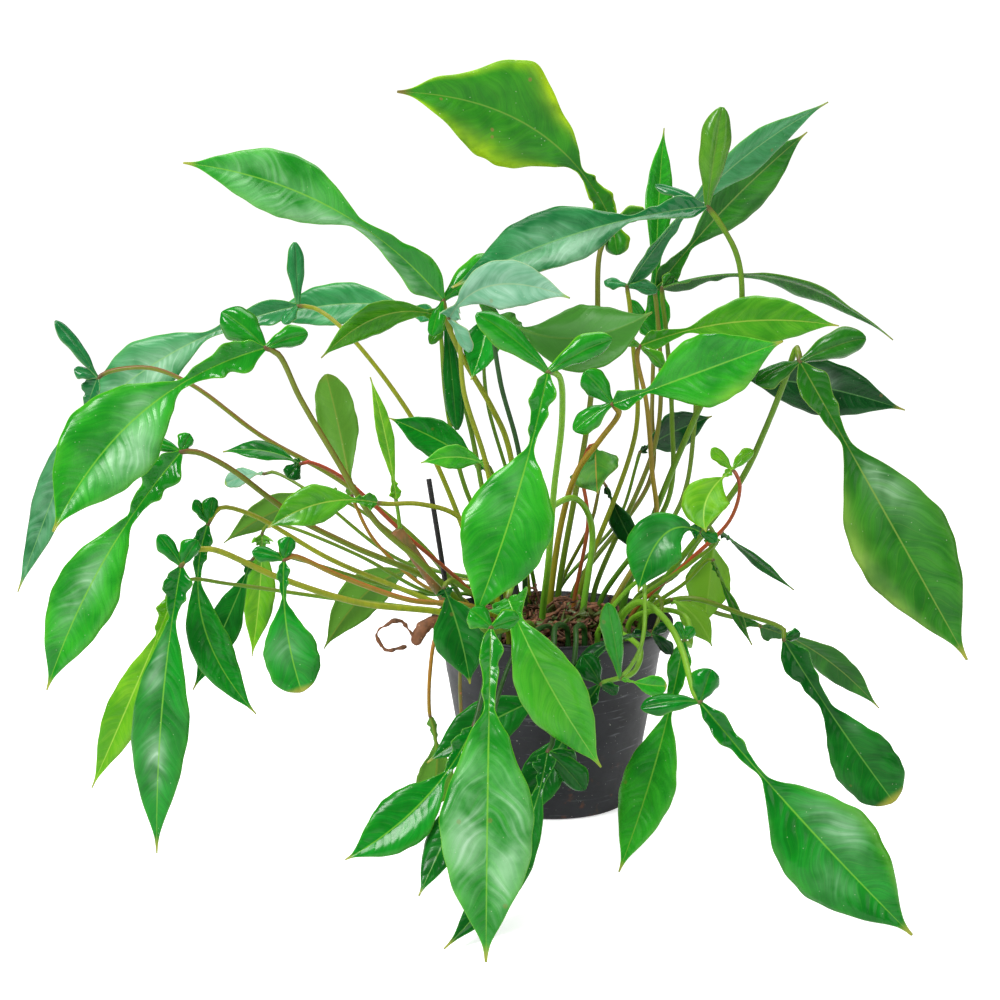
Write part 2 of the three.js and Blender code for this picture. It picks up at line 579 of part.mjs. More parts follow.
// A closed plate from two grids of points, with both faces split alike and a wall round the edge
function plate(upper, lower) {
  const rows = upper.length;
  const columns = upper[0].length;
  const positions = [];
  [upper, lower].forEach((grid) => grid.forEach((row) => row.forEach((p) => positions.push(p.x, p.y, p.z))));
  const at = (side, row, column) => (side * rows + row) * columns + column;
  const faces = [];
  const quad = (a, b, c, d) => faces.push(a, b, c, a, c, d);
  for (let r = 0; r < rows - 1; r += 1) {
    for (let c = 0; c < columns - 1; c += 1) {
      const top = [at(0, r, c), at(0, r, c + 1), at(0, r + 1, c + 1), at(0, r + 1, c)];
      const low = [at(1, r, c), at(1, r, c + 1), at(1, r + 1, c + 1), at(1, r + 1, c)];
      if (c < (columns - 1) / 2) {
        quad(top[0], top[1], top[2], top[3]);
        faces.push(low[0], low[2], low[1], low[0], low[3], low[2]);
      } else {
        quad(top[1], top[2], top[3], top[0]);
        faces.push(low[1], low[3], low[2], low[1], low[0], low[3]);
      }
    }
  }
  for (let r = 0; r < rows - 1; r += 1) {
    const last = columns - 1;
    quad(at(0, r, 0), at(0, r + 1, 0), at(1, r + 1, 0), at(1, r, 0));
    quad(at(0, r + 1, last), at(0, r, last), at(1, r, last), at(1, r + 1, last));
  }
  for (let c = 0; c < columns - 1; c += 1) {
    const end = rows - 1;
    quad(at(0, 0, c + 1), at(0, 0, c), at(1, 0, c), at(1, 0, c + 1));
    quad(at(0, end, c), at(0, end, c + 1), at(1, end, c + 1), at(1, end, c));
  }
  return closed(positions, faces);
}

// A closed tube along a curve with a ring at each given share of it, its radius easing along the way
function tube(curve, shares, sides, firstRadius, lastRadius, grow = 0) {
  const positions = [];
  const faces = [];
  const normal = new THREE.Vector3(0.31, 0.95, 0);
  shares.forEach((share, i) => {
    const along = curve.getTangent(share);
    normal.addScaledVector(along, -normal.dot(along)).normalize();
    const across = new THREE.Vector3().crossVectors(along, normal);
    const radius = firstRadius + (lastRadius - firstRadius) * i / (shares.length - 1) + grow;
    for (let j = 0; j < sides; j += 1) {
      const angle = 2 * Math.PI * j / sides;
      const corner = curve.getPoint(share)
        .addScaledVector(normal, radius * Math.cos(angle))
        .addScaledVector(across, radius * Math.sin(angle));
      positions.push(corner.x, corner.y, corner.z);
    }
  });
  const last = shares.length - 1;
  const at = (i, j) => i * sides + (j % sides);
  for (let i = 0; i < last; i += 1) {
    for (let j = 0; j < sides; j += 1) {
      faces.push(at(i, j), at(i, j + 1), at(i + 1, j + 1), at(i, j), at(i + 1, j + 1), at(i + 1, j));
    }
  }
  for (let j = 1; j < sides - 1; j += 1) {
    faces.push(at(0, 0), at(0, j + 1), at(0, j), at(last, 0), at(last, j), at(last, j + 1));
  }
  return closed(positions, faces);
}

// A smooth line through places, and the shares of it where a tube along it has a ring
function lineThrough(points) {
  const curve = new THREE.CatmullRomCurve3(points, false, 'centripetal');
  const spans = points.length - 1;
  const shares = points.flatMap((point, i) => {
    const long = i < spans && point.distanceTo(points[i + 1]) > LONG_SPAN;
    return long ? [i / spans, (i + 0.5) / spans] : [i / spans];
  });
  return { curve, shares };
}

// The leaf's rib: a smooth arc through knee, neck and tip
function ribOf(knee, neck, tip) {
  const first = knee.distanceTo(neck);
  const share = first / (first + neck.distanceTo(tip));
  const rest = 1 - share;
  const pull = neck.clone()
    .addScaledVector(knee, -rest * rest)
    .addScaledVector(tip, -share * share)
    .divideScalar(2 * share * rest);
  return { curve: new THREE.QuadraticBezierCurve3(knee, pull, tip), share };
}

// The blade's own directions at a place on a rib: along it, across it and out of its upper face
function facing(curve, share, turn) {
  const place = curve.getPointAt(share);
  const along = curve.getTangentAt(share);
  const look = new THREE.Vector3(VIEW.x, VIEW.y, VIEW.z).sub(place).normalize();
  const out = look.addScaledVector(along, -look.dot(along)).normalize();
  out.applyAxisAngle(along, THREE.MathUtils.degToRad(turn));
  return { place, out, across: new THREE.Vector3().crossVectors(along, out) };
}

// A waved plate along a rib. The section is a V with a thicker middle, or a flat strip.
function blade(curve, stations, across, section, turnAt) {
  const upper = [];
  const lower = [];
  stations.forEach((station) => {
    const { place, out, across: side } = facing(curve, section.share(station), turnAt(station));
    const shape = across.map((v) => section.point(station, v));
    upper.push([]);
    lower.push([]);
    shape.forEach(([x, z], i) => {
      const before = shape[Math.max(i - 1, 0)];
      const after = shape[Math.min(i + 1, shape.length - 1)];
      const normal = new THREE.Vector2(before[1] - after[1], after[0] - before[0]).normalize();
      const half = (across[i] === 0 ? RIB_THICK : BLADE_THICK) / 2;
      const point = (sign) => place.clone()
        .addScaledVector(side, x + sign * half * normal.x)
        .addScaledVector(out, z + sign * half * normal.y);
      upper.at(-1).push(point(1));
      lower.at(-1).push(point(-1));
    });
  });
  return plate(upper, lower);
}

// The main blade: ruffled neck, narrow waist and the long lobe with its thin tip
function mainBlade(leaf) {
  const { curve, share } = ribOf(spot(leaf.knee), spot(leaf.neck), spot(leaf.tip));
  const length = curve.getLength();
  const outline = leaf.blunt ? BLUNT_OUTLINE : DRIP_OUTLINE;
  const neckWide = leaf.neckWide ?? 1;
  const seed = leaf.knee[0] * 0.37 + leaf.knee[1] * 0.11;
  const section = {
    share: (p) => (p < NECK_END ? p * share / NECK_END : 1 - (1 - p) * (1 - share) / (1 - NECK_END)),
    point: (p, v) => {
      const lobe = THREE.MathUtils.smoothstep(p, NECK_END + NECK_BLEND[0], NECK_END + NECK_BLEND[1]);
      const wave = Math.min(1, p / RUFFLE_STEP) * Math.sin(Math.PI * p / RUFFLE_STEP);
      const ruffle = (1 - lobe) * wave * Math.sign(v);
      const wide = smooth(outline, p, 1) * length * neckWide + smooth(outline, p, 2) * leaf.wide;
      const half = Math.max(wide * (1 + NECK_RUFFLE * ruffle), THIN_END);
      const fold = THREE.MathUtils.degToRad(NECK_FOLD + (LOBE_FOLD - NECK_FOLD) * lobe);
      const swell = lobe * LOBE_WAVE * Math.sin(9 * p + seed + (v > 0 ? 1.7 : 0));
      const lift = Math.sin(fold) - MARGIN_CURL + swell + RUFFLE_LIFT * ruffle;
      return [half * v * Math.cos(fold), half * Math.abs(v) * lift];
    },
  };
  const turnAt = (p) => leaf.turn + leaf.twist * p;
  return blade(curve, STATIONS[leaf.size], [-1, 0, 1], section, turnAt);
}

// A rounded ear that stands up and out from the knee
function ear(leaf, [across, down, depth, wide, turn]) {
  const knee = spot(leaf.knee);
  const tip = spot([across, down, depth]);
  const middle = knee.clone().lerp(tip, 0.5);
  middle.z += EAR_ARCH * knee.distanceTo(tip);
  const curve = new THREE.QuadraticBezierCurve3(knee, middle, tip);
  const section = {
    share: (p) => p,
    point: (p, v) => [v * wide * smooth(EAR_OUTLINE, p, 1), 0],
  };
  return blade(curve, EAR_STATIONS, [-1, 1], section, () => turn);
}

// The stalk's line: straight up out of the soil, or out of a stem, past its spots and into the knee
function stalkLine(leaf) {
  const [x, y, height] = leaf.root;
  const foot = height
    ? [new THREE.Vector3(x, y, height)]
    : [ROOT_LOW, STALK_RISE].map((z) => new THREE.Vector3(x, y, z));
  const rib = ribOf(spot(leaf.knee), spot(leaf.neck), spot(leaf.tip)).curve;
  const end = spot(leaf.knee).addScaledVector(rib.getTangent(0), KNEE_REACH);
  const points = [...foot, ...leaf.stalk.slice().reverse().map(spot), spot(leaf.knee), end];
  return lineThrough(points);
}

function stalk(leaf, grow = 0) {
  const { curve, shares } = stalkLine(leaf);
  const radius = STALKS[leaf.size];
  return tube(curve, shares, STALK_SIDES, radius * STALK_BASE, radius * STALK_END, grow);
}

// A solid from a geometry, with its shared corners merged
function solid(geometry) {
  const bare = geometry.clone();
  ['normal', 'uv'].forEach((name) => bare.deleteAttribute(name));
  const merged = mergeVertices(bare, 1e-4);
  const mesh = new wasm.Mesh({
    numProp: 3,
    vertProperties: new Float32Array(merged.attributes.position.array),
    triVerts: new Uint32Array(merged.index.array),
  });
  return new wasm.Manifold(mesh);
}

function geometryOf(manifold) {
  const mesh = manifold.getMesh();
  const geometry = new THREE.BufferGeometry();
  geometry.setAttribute('position', new THREE.BufferAttribute(mesh.vertProperties, 3));
  geometry.setIndex(new THREE.BufferAttribute(mesh.triVerts, 1));
  geometry.computeVertexNormals();
  return geometry;
}

function leafPieces(leaf) {
  return [mainBlade(leaf), stalk(leaf), ...leaf.ears.map((one) => ear(leaf, one))];
}

// One node of leaves: a single leaf, or two whose stalks rise from one root
function leafGeometry(leaves) {
  const pieces = leaves.flatMap(leafPieces);
  return geometryOf(wasm.Manifold.union(pieces.map(solid)).simplify(SLIVER));
}

// Outer radius of the pot's plain wall at a height
function wallAt(height) {
  const top = POT_RIM_RADIUS - RIM_BAND_STEP - RIM_LIP;
  return POT_BASE_RADIUS + (top - POT_BASE_RADIUS) * height / POT_HEIGHT;
}

// Pot from its profile as radius and height, up the outside and down the inside
function potGeometry() {
  const band = POT_HEIGHT - RIM_BAND_HEIGHT;
  const profile = [
    [0, 0],
    [POT_BASE_RADIUS - POT_FOOT, 0],
    [POT_BASE_RADIUS, POT_FOOT],
    [wallAt(band), band],
    [wallAt(band) + RIM_BAND_STEP, band + RIM_ROUND],
    [POT_RIM_RADIUS, POT_HEIGHT - RIM_ROUND],
    [POT_RIM_RADIUS - 1, POT_HEIGHT],
    [POT_RIM_RADIUS - RIM_LIP, POT_HEIGHT],
    [wallAt(band) + RIM_BAND_STEP - POT_WALL, band + RIM_ROUND + 1],
    [wallAt(band) - POT_WALL, band + 1],
    [POT_BASE_RADIUS - POT_WALL, POT_FLOOR],
    [0, POT_FLOOR],
  ].map(([radius, height]) => new THREE.Vector2(radius, height));
  return new THREE.LatheGeometry(profile, POT_SIDES).rotateX(Math.PI / 2);
}

// A stem or stake, with the stalks that grow out of it or stand through it left as plain holes
function woodSolid(piece, grow = 0) {
  return wasm.Manifold.union(piece.runs.map((run) => {
    const { curve, shares } = lineThrough(run.line.map((point) => new THREE.Vector3(...point)));
    return solid(tube(curve, shares, run.sides, run.radius[0], run.radius[1], grow));
  }));
}

function woodGeometry(piece) {
  let wood = woodSolid(piece);
  LEAVES.filter((leaf) => piece.holds.includes(leaf.name)).forEach((leaf) => {
    wood = wood.subtract(solid(stalk(leaf, FIT)));
  });
  return geometryOf(wood);
}

// Uneven height of the soil's top
function soilTop(radius, angle) {
  const lumps = Math.sin(3 * angle + radius * 0.09) * Math.sin(radius * 0.05 + 1);
  return SOIL_LEVEL + SOIL_BUMP * lumps;
}

// Soil that fills the pot, with a plain hole for each stalk, stem and stake
function soilGeometry() {
  const low = POT_FLOOR + FIT;
  const shrink = Math.cos(Math.PI / POT_SIDES);
  const edge = (height) => (wallAt(height) - POT_WALL - FIT) * shrink;
  const rings = [
    { radius: edge(SOIL_EDGE) * SOIL_MIDDLE, height: soilTop },
    { radius: edge(SOIL_EDGE), height: () => SOIL_EDGE },
    { radius: edge(low) - FIT, height: () => low },
  ];
  const positions = [];
  const faces = [];
  rings.forEach(({ radius, height }) => {
    for (let j = 0; j < SOIL_SIDES; j += 1) {
      const angle = 2 * Math.PI * j / SOIL_SIDES;
      positions.push(radius * Math.cos(angle), radius * Math.sin(angle), height(radius, angle));
    }
  });
  const top = positions.length / 3;
  positions.push(0, 0, soilTop(0, 0), 0, 0, low);
  const at = (i, j) => i * SOIL_SIDES + (j % SOIL_SIDES);
  for (let j = 0; j < SOIL_SIDES; j += 1) {
    for (let i = 0; i < rings.length - 1; i += 1) {
      faces.push(at(i, j), at(i + 1, j), at(i + 1, j + 1), at(i, j), at(i + 1, j + 1), at(i, j + 1));
    }
    faces.push(top, at(0, j), at(0, j + 1), top + 1, at(rings.length - 1, j + 1), at(rings.length - 1, j));
  }
  let soil = solid(closed(positions, faces));
  LEAVES.forEach((leaf) => {
    soil = soil.subtract(solid(stalk(leaf, FIT)));
  });
  WOOD.forEach((piece) => {
    soil = soil.subtract(woodSolid(piece, FIT));
  });
  return geometryOf(soil);
}

// All pieces, each in its own colour
const group = new THREE.Group();

function add(name, geometry, color, roughness) {
  const material = new THREE.MeshStandardMaterial({ color, roughness, metalness: 0 });
  const mesh = new THREE.Mesh(geometry, material);
  mesh.name = name;
  group.add(mesh);
}

add('pot', potGeometry(), 0x26272b, 0.45);
add('soil', soilGeometry(), 0x3a2a1e, 0.95);
WOOD.forEach((piece) => add(piece.name, woodGeometry(piece), piece.color, 0.8));
const nodes = [...new Set(LEAVES.map((leaf) => leaf.node ?? leaf.name))];
nodes.forEach((node) => {
  const leaves = LEAVES.filter((leaf) => (leaf.node ?? leaf.name) === node);
  add(node, leafGeometry(leaves), TINTS[leaves[0].tint], 0.4);
});

export default group;
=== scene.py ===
"""Potted philodendron with three-lobed leaves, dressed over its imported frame.

Metres, but millimetres in the leaf table. Z up, origin at the middle of the pot's underside, +Y away from the viewer.
Each fine piece keeps the form of the solid that it stands for.
"""

import json
import logging
import math
from collections.abc import Callable, Sequence
from dataclasses import dataclass, field
from enum import Enum
from typing import Any

import bpy
import numpy as np
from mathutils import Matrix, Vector, noise


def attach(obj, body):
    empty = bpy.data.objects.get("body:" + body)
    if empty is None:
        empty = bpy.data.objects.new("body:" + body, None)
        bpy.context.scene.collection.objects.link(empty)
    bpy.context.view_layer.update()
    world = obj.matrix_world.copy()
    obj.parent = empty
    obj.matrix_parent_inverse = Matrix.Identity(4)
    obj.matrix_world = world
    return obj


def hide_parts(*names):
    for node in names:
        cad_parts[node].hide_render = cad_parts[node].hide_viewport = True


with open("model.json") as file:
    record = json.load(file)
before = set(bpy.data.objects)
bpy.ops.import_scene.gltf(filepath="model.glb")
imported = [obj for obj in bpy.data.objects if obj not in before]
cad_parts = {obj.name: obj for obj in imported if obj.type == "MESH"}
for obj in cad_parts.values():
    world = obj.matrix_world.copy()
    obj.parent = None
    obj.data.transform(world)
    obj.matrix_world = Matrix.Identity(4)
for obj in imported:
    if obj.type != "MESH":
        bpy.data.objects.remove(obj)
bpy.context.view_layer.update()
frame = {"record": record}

BODY = "root"
SLOTS = {part["node"]: part["material_slot"] for part in frame["record"]["subparts"]}

log = logging.getLogger("philodendron")

Colour = tuple[float, float, float, float]
Spot = tuple[float, float, float]
Feed = Any
Faces = list[list[int]]
Traits = dict[str, np.ndarray]
Part = tuple[np.ndarray, Faces, Traits]

# Millimetres in a metre
MM = 1000


# Helpers for colours, curves and nodes


def tint(code: str) -> Colour:
    """Turns a six-digit screen colour into linear light.

    Args:
        code: Red, green and blue as two hexadecimal digits each.

    Returns:
        The colour as linear red, green, blue and a full alpha.
    """
    shares = [int(code[i : i + 2], 16) / 255 for i in (0, 2, 4)]
    linear = [s / 12.92 if s <= 0.04045 else ((s + 0.055) / 1.055) ** 2.4 for s in shares]
    return (*linear, 1.0)


def unit(vectors: np.ndarray) -> np.ndarray:
    """Scales vectors to length one.

    Args:
        vectors: An array whose last axis is x, y, z.

    Returns:
        The same directions with length one.
    """
    return vectors / np.maximum(np.linalg.norm(vectors, axis=-1, keepdims=True), 1e-12)


def ease(value: np.ndarray, low: float, high: float) -> np.ndarray:
    """Rises smoothly from 0 at low to 1 at high.

    Args:
        value: Where to read the rise.
        low: Start of the rise.
        high: End of the rise.

    Returns:
        The eased share at each value.
    """
    share = np.clip((value - low) / (high - low), 0, 1)
    return share * share * (3 - 2 * share)


def smooth(knots: Sequence[Sequence[float]], at: np.ndarray, column: int) -> np.ndarray:
    """Reads a smooth value along a list of knots, by cubic steps.

    Args:
        knots: Rows of a place and its values.
        at: Places to read.
        column: Which value of the rows to read.

    Returns:
        The value at each place.
    """
    table = np.array(knots, float)
    where, values = table[:, 0], table[:, column]
    last = len(where) - 1
    before = np.maximum(np.arange(last + 1) - 1, 0)
    after = np.minimum(np.arange(last + 1) + 1, last)
    slopes = (values[after] - values[before]) / (where[after] - where[before])
    i = np.clip(np.searchsorted(where, at, side="left") - 1, 0, last - 1)
    span = where[i + 1] - where[i]
    t = (at - where[i]) / span
    rest = 1 - t
    return (
        values[i] * (1 + 2 * t) * rest * rest
        + slopes[i] * span * t * rest * rest
        + values[i + 1] * t * t * (3 - 2 * t)
        - slopes[i + 1] * span * t * t * rest
    )


class Wire:
    """An output of a node that can be reckoned with like a number."""

    def __init__(self, board: "Board", socket: Any) -> None:
        """Keeps the output and the board that it lies on."""
        self.board, self.socket = board, socket

    def __add__(self, other: Feed) -> "Wire":
        """Adds."""
        return self.board.math("ADD", self, other)

    def __sub__(self, other: Feed) -> "Wire":
        """Subtracts."""
        return self.board.math("SUBTRACT", self, other)

    def __rsub__(self, other: float) -> "Wire":
        """Subtracts from a plain number."""
        return self.board.math("SUBTRACT", other, self)

    def __mul__(self, other: Feed) -> "Wire":
        """Multiplies."""
        return self.board.math("MULTIPLY", self, other)

    def __truediv__(self, other: Feed) -> "Wire":
        """Divides."""
        return self.board.math("DIVIDE", self, other)

    def __abs__(self) -> "Wire":
        """Drops the sign."""
        return self.board.math("ABSOLUTE", self)


class Board:
    """A node tree in the making, with short calls that place nodes and join them."""

    def __init__(self, tree: bpy.types.NodeTree) -> None:
        """Takes the tree that the nodes go into."""
        self.tree = tree

    def feed(self, made: Any, feeds: dict[Any, Feed]) -> None:
        """Joins outputs to a node's inputs or sets plain values on them.

        Args:
            made: The node.
            feeds: For each input by name or number, an output to join or a plain value.
        """
        for key, value in feeds.items():
            value = value.socket if isinstance(value, Wire) else value
            if isinstance(value, bpy.types.NodeSocket):
                self.tree.links.new(value, made.inputs[key])
            else:
                made.inputs[key].default_value = value

    def node(self, kind: str, feeds: dict[Any, Feed] | None = None, **settings: Any) -> Any:
        """Places one node.

        Args:
            kind: The node's type.
            feeds: What its inputs are fed with.
            settings: Properties of the node itself.

        Returns:
            The node.
        """
        made = self.tree.nodes.new(kind)
        for name, value in settings.items():
            setattr(made, name, value)
        self.feed(made, feeds or {})
        return made

    def out(self, kind: str, feeds: dict[Any, Feed] | None = None, output: int | str = 0, **settings: Any) -> Wire:
        """Places one node and returns one of its outputs, the first where none is named."""
        return Wire(self, self.node(kind, feeds, **settings).outputs[output])

    def math(self, operation: str, a: Feed, b: Feed = 0.0, c: Feed = 0.0) -> Wire:
        """Places a Math node."""
        return self.out("ShaderNodeMath", {0: a, 1: b, 2: c}, operation=operation)

    def ramp(self, value: Feed, low: float, high: float, start: float = 0.0, end: float = 1.0) -> Wire:
        """Places a smooth rise, from start at low to end at high."""
        feeds = {0: value, 1: low, 2: high, 3: start, 4: end}
        return self.out("ShaderNodeMapRange", feeds, interpolation_type="SMOOTHSTEP")

    def mix(self, share: Feed, a: Feed, b: Feed) -> Wire:
        """Mixes colour a towards colour b."""
        return self.out("ShaderNodeMix", {0: share, 6: a, 7: b}, 2, data_type="RGBA")

    def noise(self, place: Feed, scale: float, detail: float = 2.0) -> Wire:
        """Places a noise texture."""
        return self.out("ShaderNodeTexNoise", {"Vector": place, "Scale": scale, "Detail": detail})

    def split(self, vector: Feed) -> list[Wire]:
        """Takes a vector apart into its three values."""
        return [Wire(self, part) for part in self.node("ShaderNodeSeparateXYZ", {0: vector}).outputs]

    def push(self, shape: Feed, way: Feed, reach: Feed) -> Wire:
        """Moves a shape's points along a vector, by a reach."""
        offset = self.out("ShaderNodeVectorMath", {0: way, "Scale": reach}, operation="SCALE")
        return self.out("GeometryNodeSetPosition", {"Geometry": shape, "Offset": offset})

    def wander(self, feeds: dict[Any, Feed]) -> Wire:
        """Places a noise of vectors about zero."""
        colour = self.out("ShaderNodeTexNoise", feeds, 1)
        return self.out("ShaderNodeVectorMath", {0: colour, 1: (0.5, 0.5, 0.5)}, operation="SUBTRACT")

    def join(self, x: Feed, y: Feed, z: Feed) -> Wire:
        """Puts three values together as a vector."""
        return self.out("ShaderNodeCombineXYZ", {0: x, 1: y, 2: z})

    def read(self, name: str) -> list[Wire]:
        """Reads the three values of a named attribute."""
        return self.split(self.out("ShaderNodeAttribute", None, "Vector", attribute_name=name))


def new_object(name: str, data: Any) -> bpy.types.Object:
    """Makes an object and links it to the scene.

    Args:
        name: The object's name.
        data: Its mesh, camera or light.

    Returns:
        The object.
    """
    made = bpy.data.objects.new(name, data)
    bpy.context.scene.collection.objects.link(made)
    return made


def squares(rows: int, columns: int) -> list[tuple[int, ...]]:
    """Gives the faces between the rows and columns of a grid of points."""
    corners = (r * columns + c for r in range(rows - 1) for c in range(columns - 1))
    return [(a, a + columns, a + columns + 1, a + 1) for a in corners]


def new_group(name: str, takes: dict[str, tuple[str, Any]], gives: dict[str, str]) -> tuple[Board, Any]:
    """Makes an empty shader node group with named sockets.

    Args:
        name: The group's name.
        takes: For each input, its socket kind and its first value.
        gives: For each output, its socket kind.

    Returns:
        A board on the group's tree, and what comes in.
    """
    tree = bpy.data.node_groups.new(name, "ShaderNodeTree")
    for label, (kind, value) in takes.items():
        socket = tree.interface.new_socket(name=label, in_out="INPUT", socket_type="NodeSocket" + kind)
        socket.default_value = value
    for label, kind in gives.items():
        tree.interface.new_socket(name=label, in_out="OUTPUT", socket_type="NodeSocket" + kind)
    board = Board(tree)
    return board, board.node("NodeGroupInput").outputs


# Vein pattern on a blade: distance between side veins, and how far they lean and curve to the tip
VEIN_STEP = 0.0098
VEIN_SLANT = 0.45
VEIN_BEND = 0.7


class ShaderGroups:
    """The effects that several materials share, each built once."""

    def __init__(self) -> None:
        """Builds every group."""
        self.specks = self._specks()
        self.mottle = self._mottle()
        self.leaf = self._leaf()

    def dots(self, board: Board, place: Feed, scale: float, size: float, share: float) -> Wire:
        """Places scattered dots in a material.

        Args:
            board: The material's board.
            place: The place that the dots are read at.
            scale: How close together their cells are.
            size: A dot's size in its cell.
            share: Share of the cells that hold one.

        Returns:
            The dots' mask.
        """
        feeds = {"Place": place, "Scale": scale, "Size": size, "Share": share}
        return board.out("ShaderNodeGroup", feeds, node_tree=self.specks)

    def body(self, board: Board, place: Feed, scale: float, main: str, other: str, spread: float) -> Any:
        """Places an uneven mix of two colours in a material.

        Args:
            board: The material's board.
            place: The place that the mix is read at.
            scale: How close together its clouds are.
            main: The first colour.
            other: The second colour.
            spread: How much of the second colour shows.

        Returns:
            The outputs Color and Value.
        """
        feeds = {"Place": place, "Scale": scale, "Main": tint(main), "Other": tint(other), "Spread": spread}
        return board.node("ShaderNodeGroup", feeds, node_tree=self.mottle).outputs

    @staticmethod
    def _specks() -> Any:
        """Builds small scattered dots.

        Returns:
            A group that turns a place into a mask of dots.
        """
        takes = {"Place": ("Vector", (0, 0, 0)), "Scale": ("Float", 300.0), "Size": ("Float", 0.12),
                 "Share": ("Float", 0.2)}
        board, into = new_group("specks", takes, {"Mask": "Float"})
        cells = board.node("ShaderNodeTexVoronoi", {"Vector": into["Place"], "Scale": into["Scale"]}).outputs
        chance = board.out("ShaderNodeSeparateColor", {0: cells["Color"]})
        chosen = board.math("LESS_THAN", chance, into["Share"])
        near = 1.0 - Wire(board, cells["Distance"]) / into["Size"]
        mask = board.math("MAXIMUM", near, 0.0) * chosen
        board.node("NodeGroupOutput", {"Mask": board.math("MINIMUM", mask * 2.5, 1.0)})
        return board.tree

    @staticmethod
    def _mottle() -> Any:
        """Builds an uneven mix of two colours with its own height.

        Returns:
            A group that gives a colour and a value that varies with it.
        """
        takes = {"Place": ("Vector", (0, 0, 0)), "Scale": ("Float", 40.0), "Main": ("Color", (1, 1, 1, 1)),
                 "Other": ("Color", (0, 0, 0, 1)), "Spread": ("Float", 0.5)}
        board, into = new_group("mottle", takes, {"Color": "Color", "Value": "Float"})
        feeds = {"Vector": into["Place"], "Scale": into["Scale"], "Detail": 5.0, "Roughness": 0.62}
        cloud = board.out("ShaderNodeTexNoise", feeds)
        colour = board.mix(board.ramp(cloud, 0.35, 0.68) * into["Spread"], into["Main"], into["Other"])
        board.node("NodeGroupOutput", {"Color": colour, "Value": cloud})
        return board.tree

    def _leaf(self) -> Any:
        """Builds the living surface of a blade from its own attributes.

        Returns:
            A group that gives the leaf's colour, roughness and relief.
        """
        takes = {name: ("Color", (1, 1, 1, 1)) for name in
                 ("Blade", "Deep", "Light", "Rib", "Margin", "Bloom", "Under", "Tip")}
        takes |= {name: ("Float", 0.0) for name in ("Veins", "Glow", "Specks", "Rough")}
        board, into = new_group("leaf_surface", takes, {"Color": "Color", "Roughness": "Float", "Height": "Float"})
        along, across, v = board.read("leaf_place")
        share, side, ear = board.read("leaf_state")
        glow, painted_sheen, tone = board.read("leaf_marks")
        objects = board.out("ShaderNodeTexCoord", None, "Object")
        out, edge = abs(across), abs(v)
        cloud = board.noise(objects, 26.0, 3.0)
        grain = board.noise(objects, 90.0, 4.0)

        # The side veins: a saw along the rib that leans and bends to the tip
        slant = board.math("MULTIPLY_ADD", edge, VEIN_BEND, VEIN_SLANT)
        phase = (along - out * slant + (cloud - 0.5) * 0.002) / VEIN_STEP
        turn = board.math("FRACT", phase)
        ridge = abs(turn - 0.5) * 2.0
        vein = board.ramp(ridge, 0.9, 1.0)
        pillow = 1.0 - ridge * ridge
        streak = board.noise(board.join(phase * 1.1, out * 26.0, board.math("SIGN", across) + tone), 1.0)
        hairs = board.noise(board.join(phase * 7.0, out * 60.0, tone), 1.0)

        # Greens, neck and veins
        colour = board.mix(board.ramp(cloud, 0.3, 0.62, 0.35, 1.0), into["Deep"], into["Blade"])
        # Lighter streaks along the veins: partly the blade's own tone, partly painted sheen
        colour = board.mix(board.ramp(streak + cloud, 0.8, 1.3, 0.0, 0.5), colour, into["Light"])
        colour = board.mix(board.ramp(hairs, 0.6, 0.3, 0.0, 0.35), colour, into["Deep"])
        neck = board.math("MAXIMUM", board.ramp(share, 0.44, 0.24), ear * 0.7)
        colour = board.mix(neck * 0.6, colour, into["Deep"])
        lines = vein * into["Veins"] * board.ramp(edge, 0.95, 0.3)
        colour = board.mix(lines * (1.0 - neck), colour, into["Rib"])

        # Yellow margins and patches, then painted sheen: pale bands between the veins and soft pale patches that stand
        # in for gloss
        rim = board.ramp(edge, 0.7, 1.0) * into["Glow"] * board.ramp(cloud, 0.3, 0.6)
        patch = glow * board.ramp(cloud, 0.25, 0.6, 0.35, 1.0)
        colour = board.mix(board.math("MINIMUM", rim + patch, 1.0), colour, into["Margin"])
        # Painted sheen: pale bands on one flank of each vein cell, as if the folds shone
        band = board.ramp(turn, 0.1, 0.5) * board.ramp(turn, 0.95, 0.55) * board.ramp(streak, 0.4, 0.66)
        band = band * board.ramp(hairs, 0.3, 0.55, 0.4, 1.0) * board.ramp(edge, 1.0, 0.75)
        sheen_mask = board.math("MULTIPLY_ADD", board.ramp(cloud, 0.3, 0.62), 0.48, band * 0.36)
        colour = board.mix(sheen_mask * painted_sheen, colour, into["Bloom"])

        # The thin line on the margin, the rib, the tip, the underside and small marks
        room = out * (1.0 - edge) / board.math("MAXIMUM", edge, 0.01)
        line = board.ramp(room, 0.0008, 0.0002) * board.ramp(edge, 0.5, 0.8)
        colour = board.mix(line * 0.6, colour, into["Margin"])
        rib_half = board.math("MULTIPLY_ADD", share, -0.0007, 0.0013)
        inside = out / board.math("MAXIMUM", rib_half, 0.0003)
        rib = board.ramp(inside, 1.25, 0.4) * board.math("MULTIPLY_ADD", ear, -0.5, 0.72)
        colour = board.mix(rib, colour, into["Rib"])
        colour = board.mix(board.ramp(share, 0.94, 0.99) * (1.0 - ear) * 0.8, colour, into["Tip"])
        colour = board.mix(side * 0.75, colour, into["Under"])
        for scale, size, part, code in ((330.0, 0.16, 0.07, "dfe6c8"), (85.0, 0.2, 0.035, "8a6a3a")):
            mask = self.dots(board, objects, scale, size, part) * into["Specks"]
            colour = board.mix(mask, colour, tint(code))

        rough = (grain - 0.5) * 0.16 + into["Rough"] + side * 0.14 - neck * 0.11
        height = pillow * 0.2 + hairs * 0.1 + cloud * 1.6
        board.node("NodeGroupOutput", {"Color": colour, "Roughness": rough, "Height": height})
        return board.tree


# Finishes


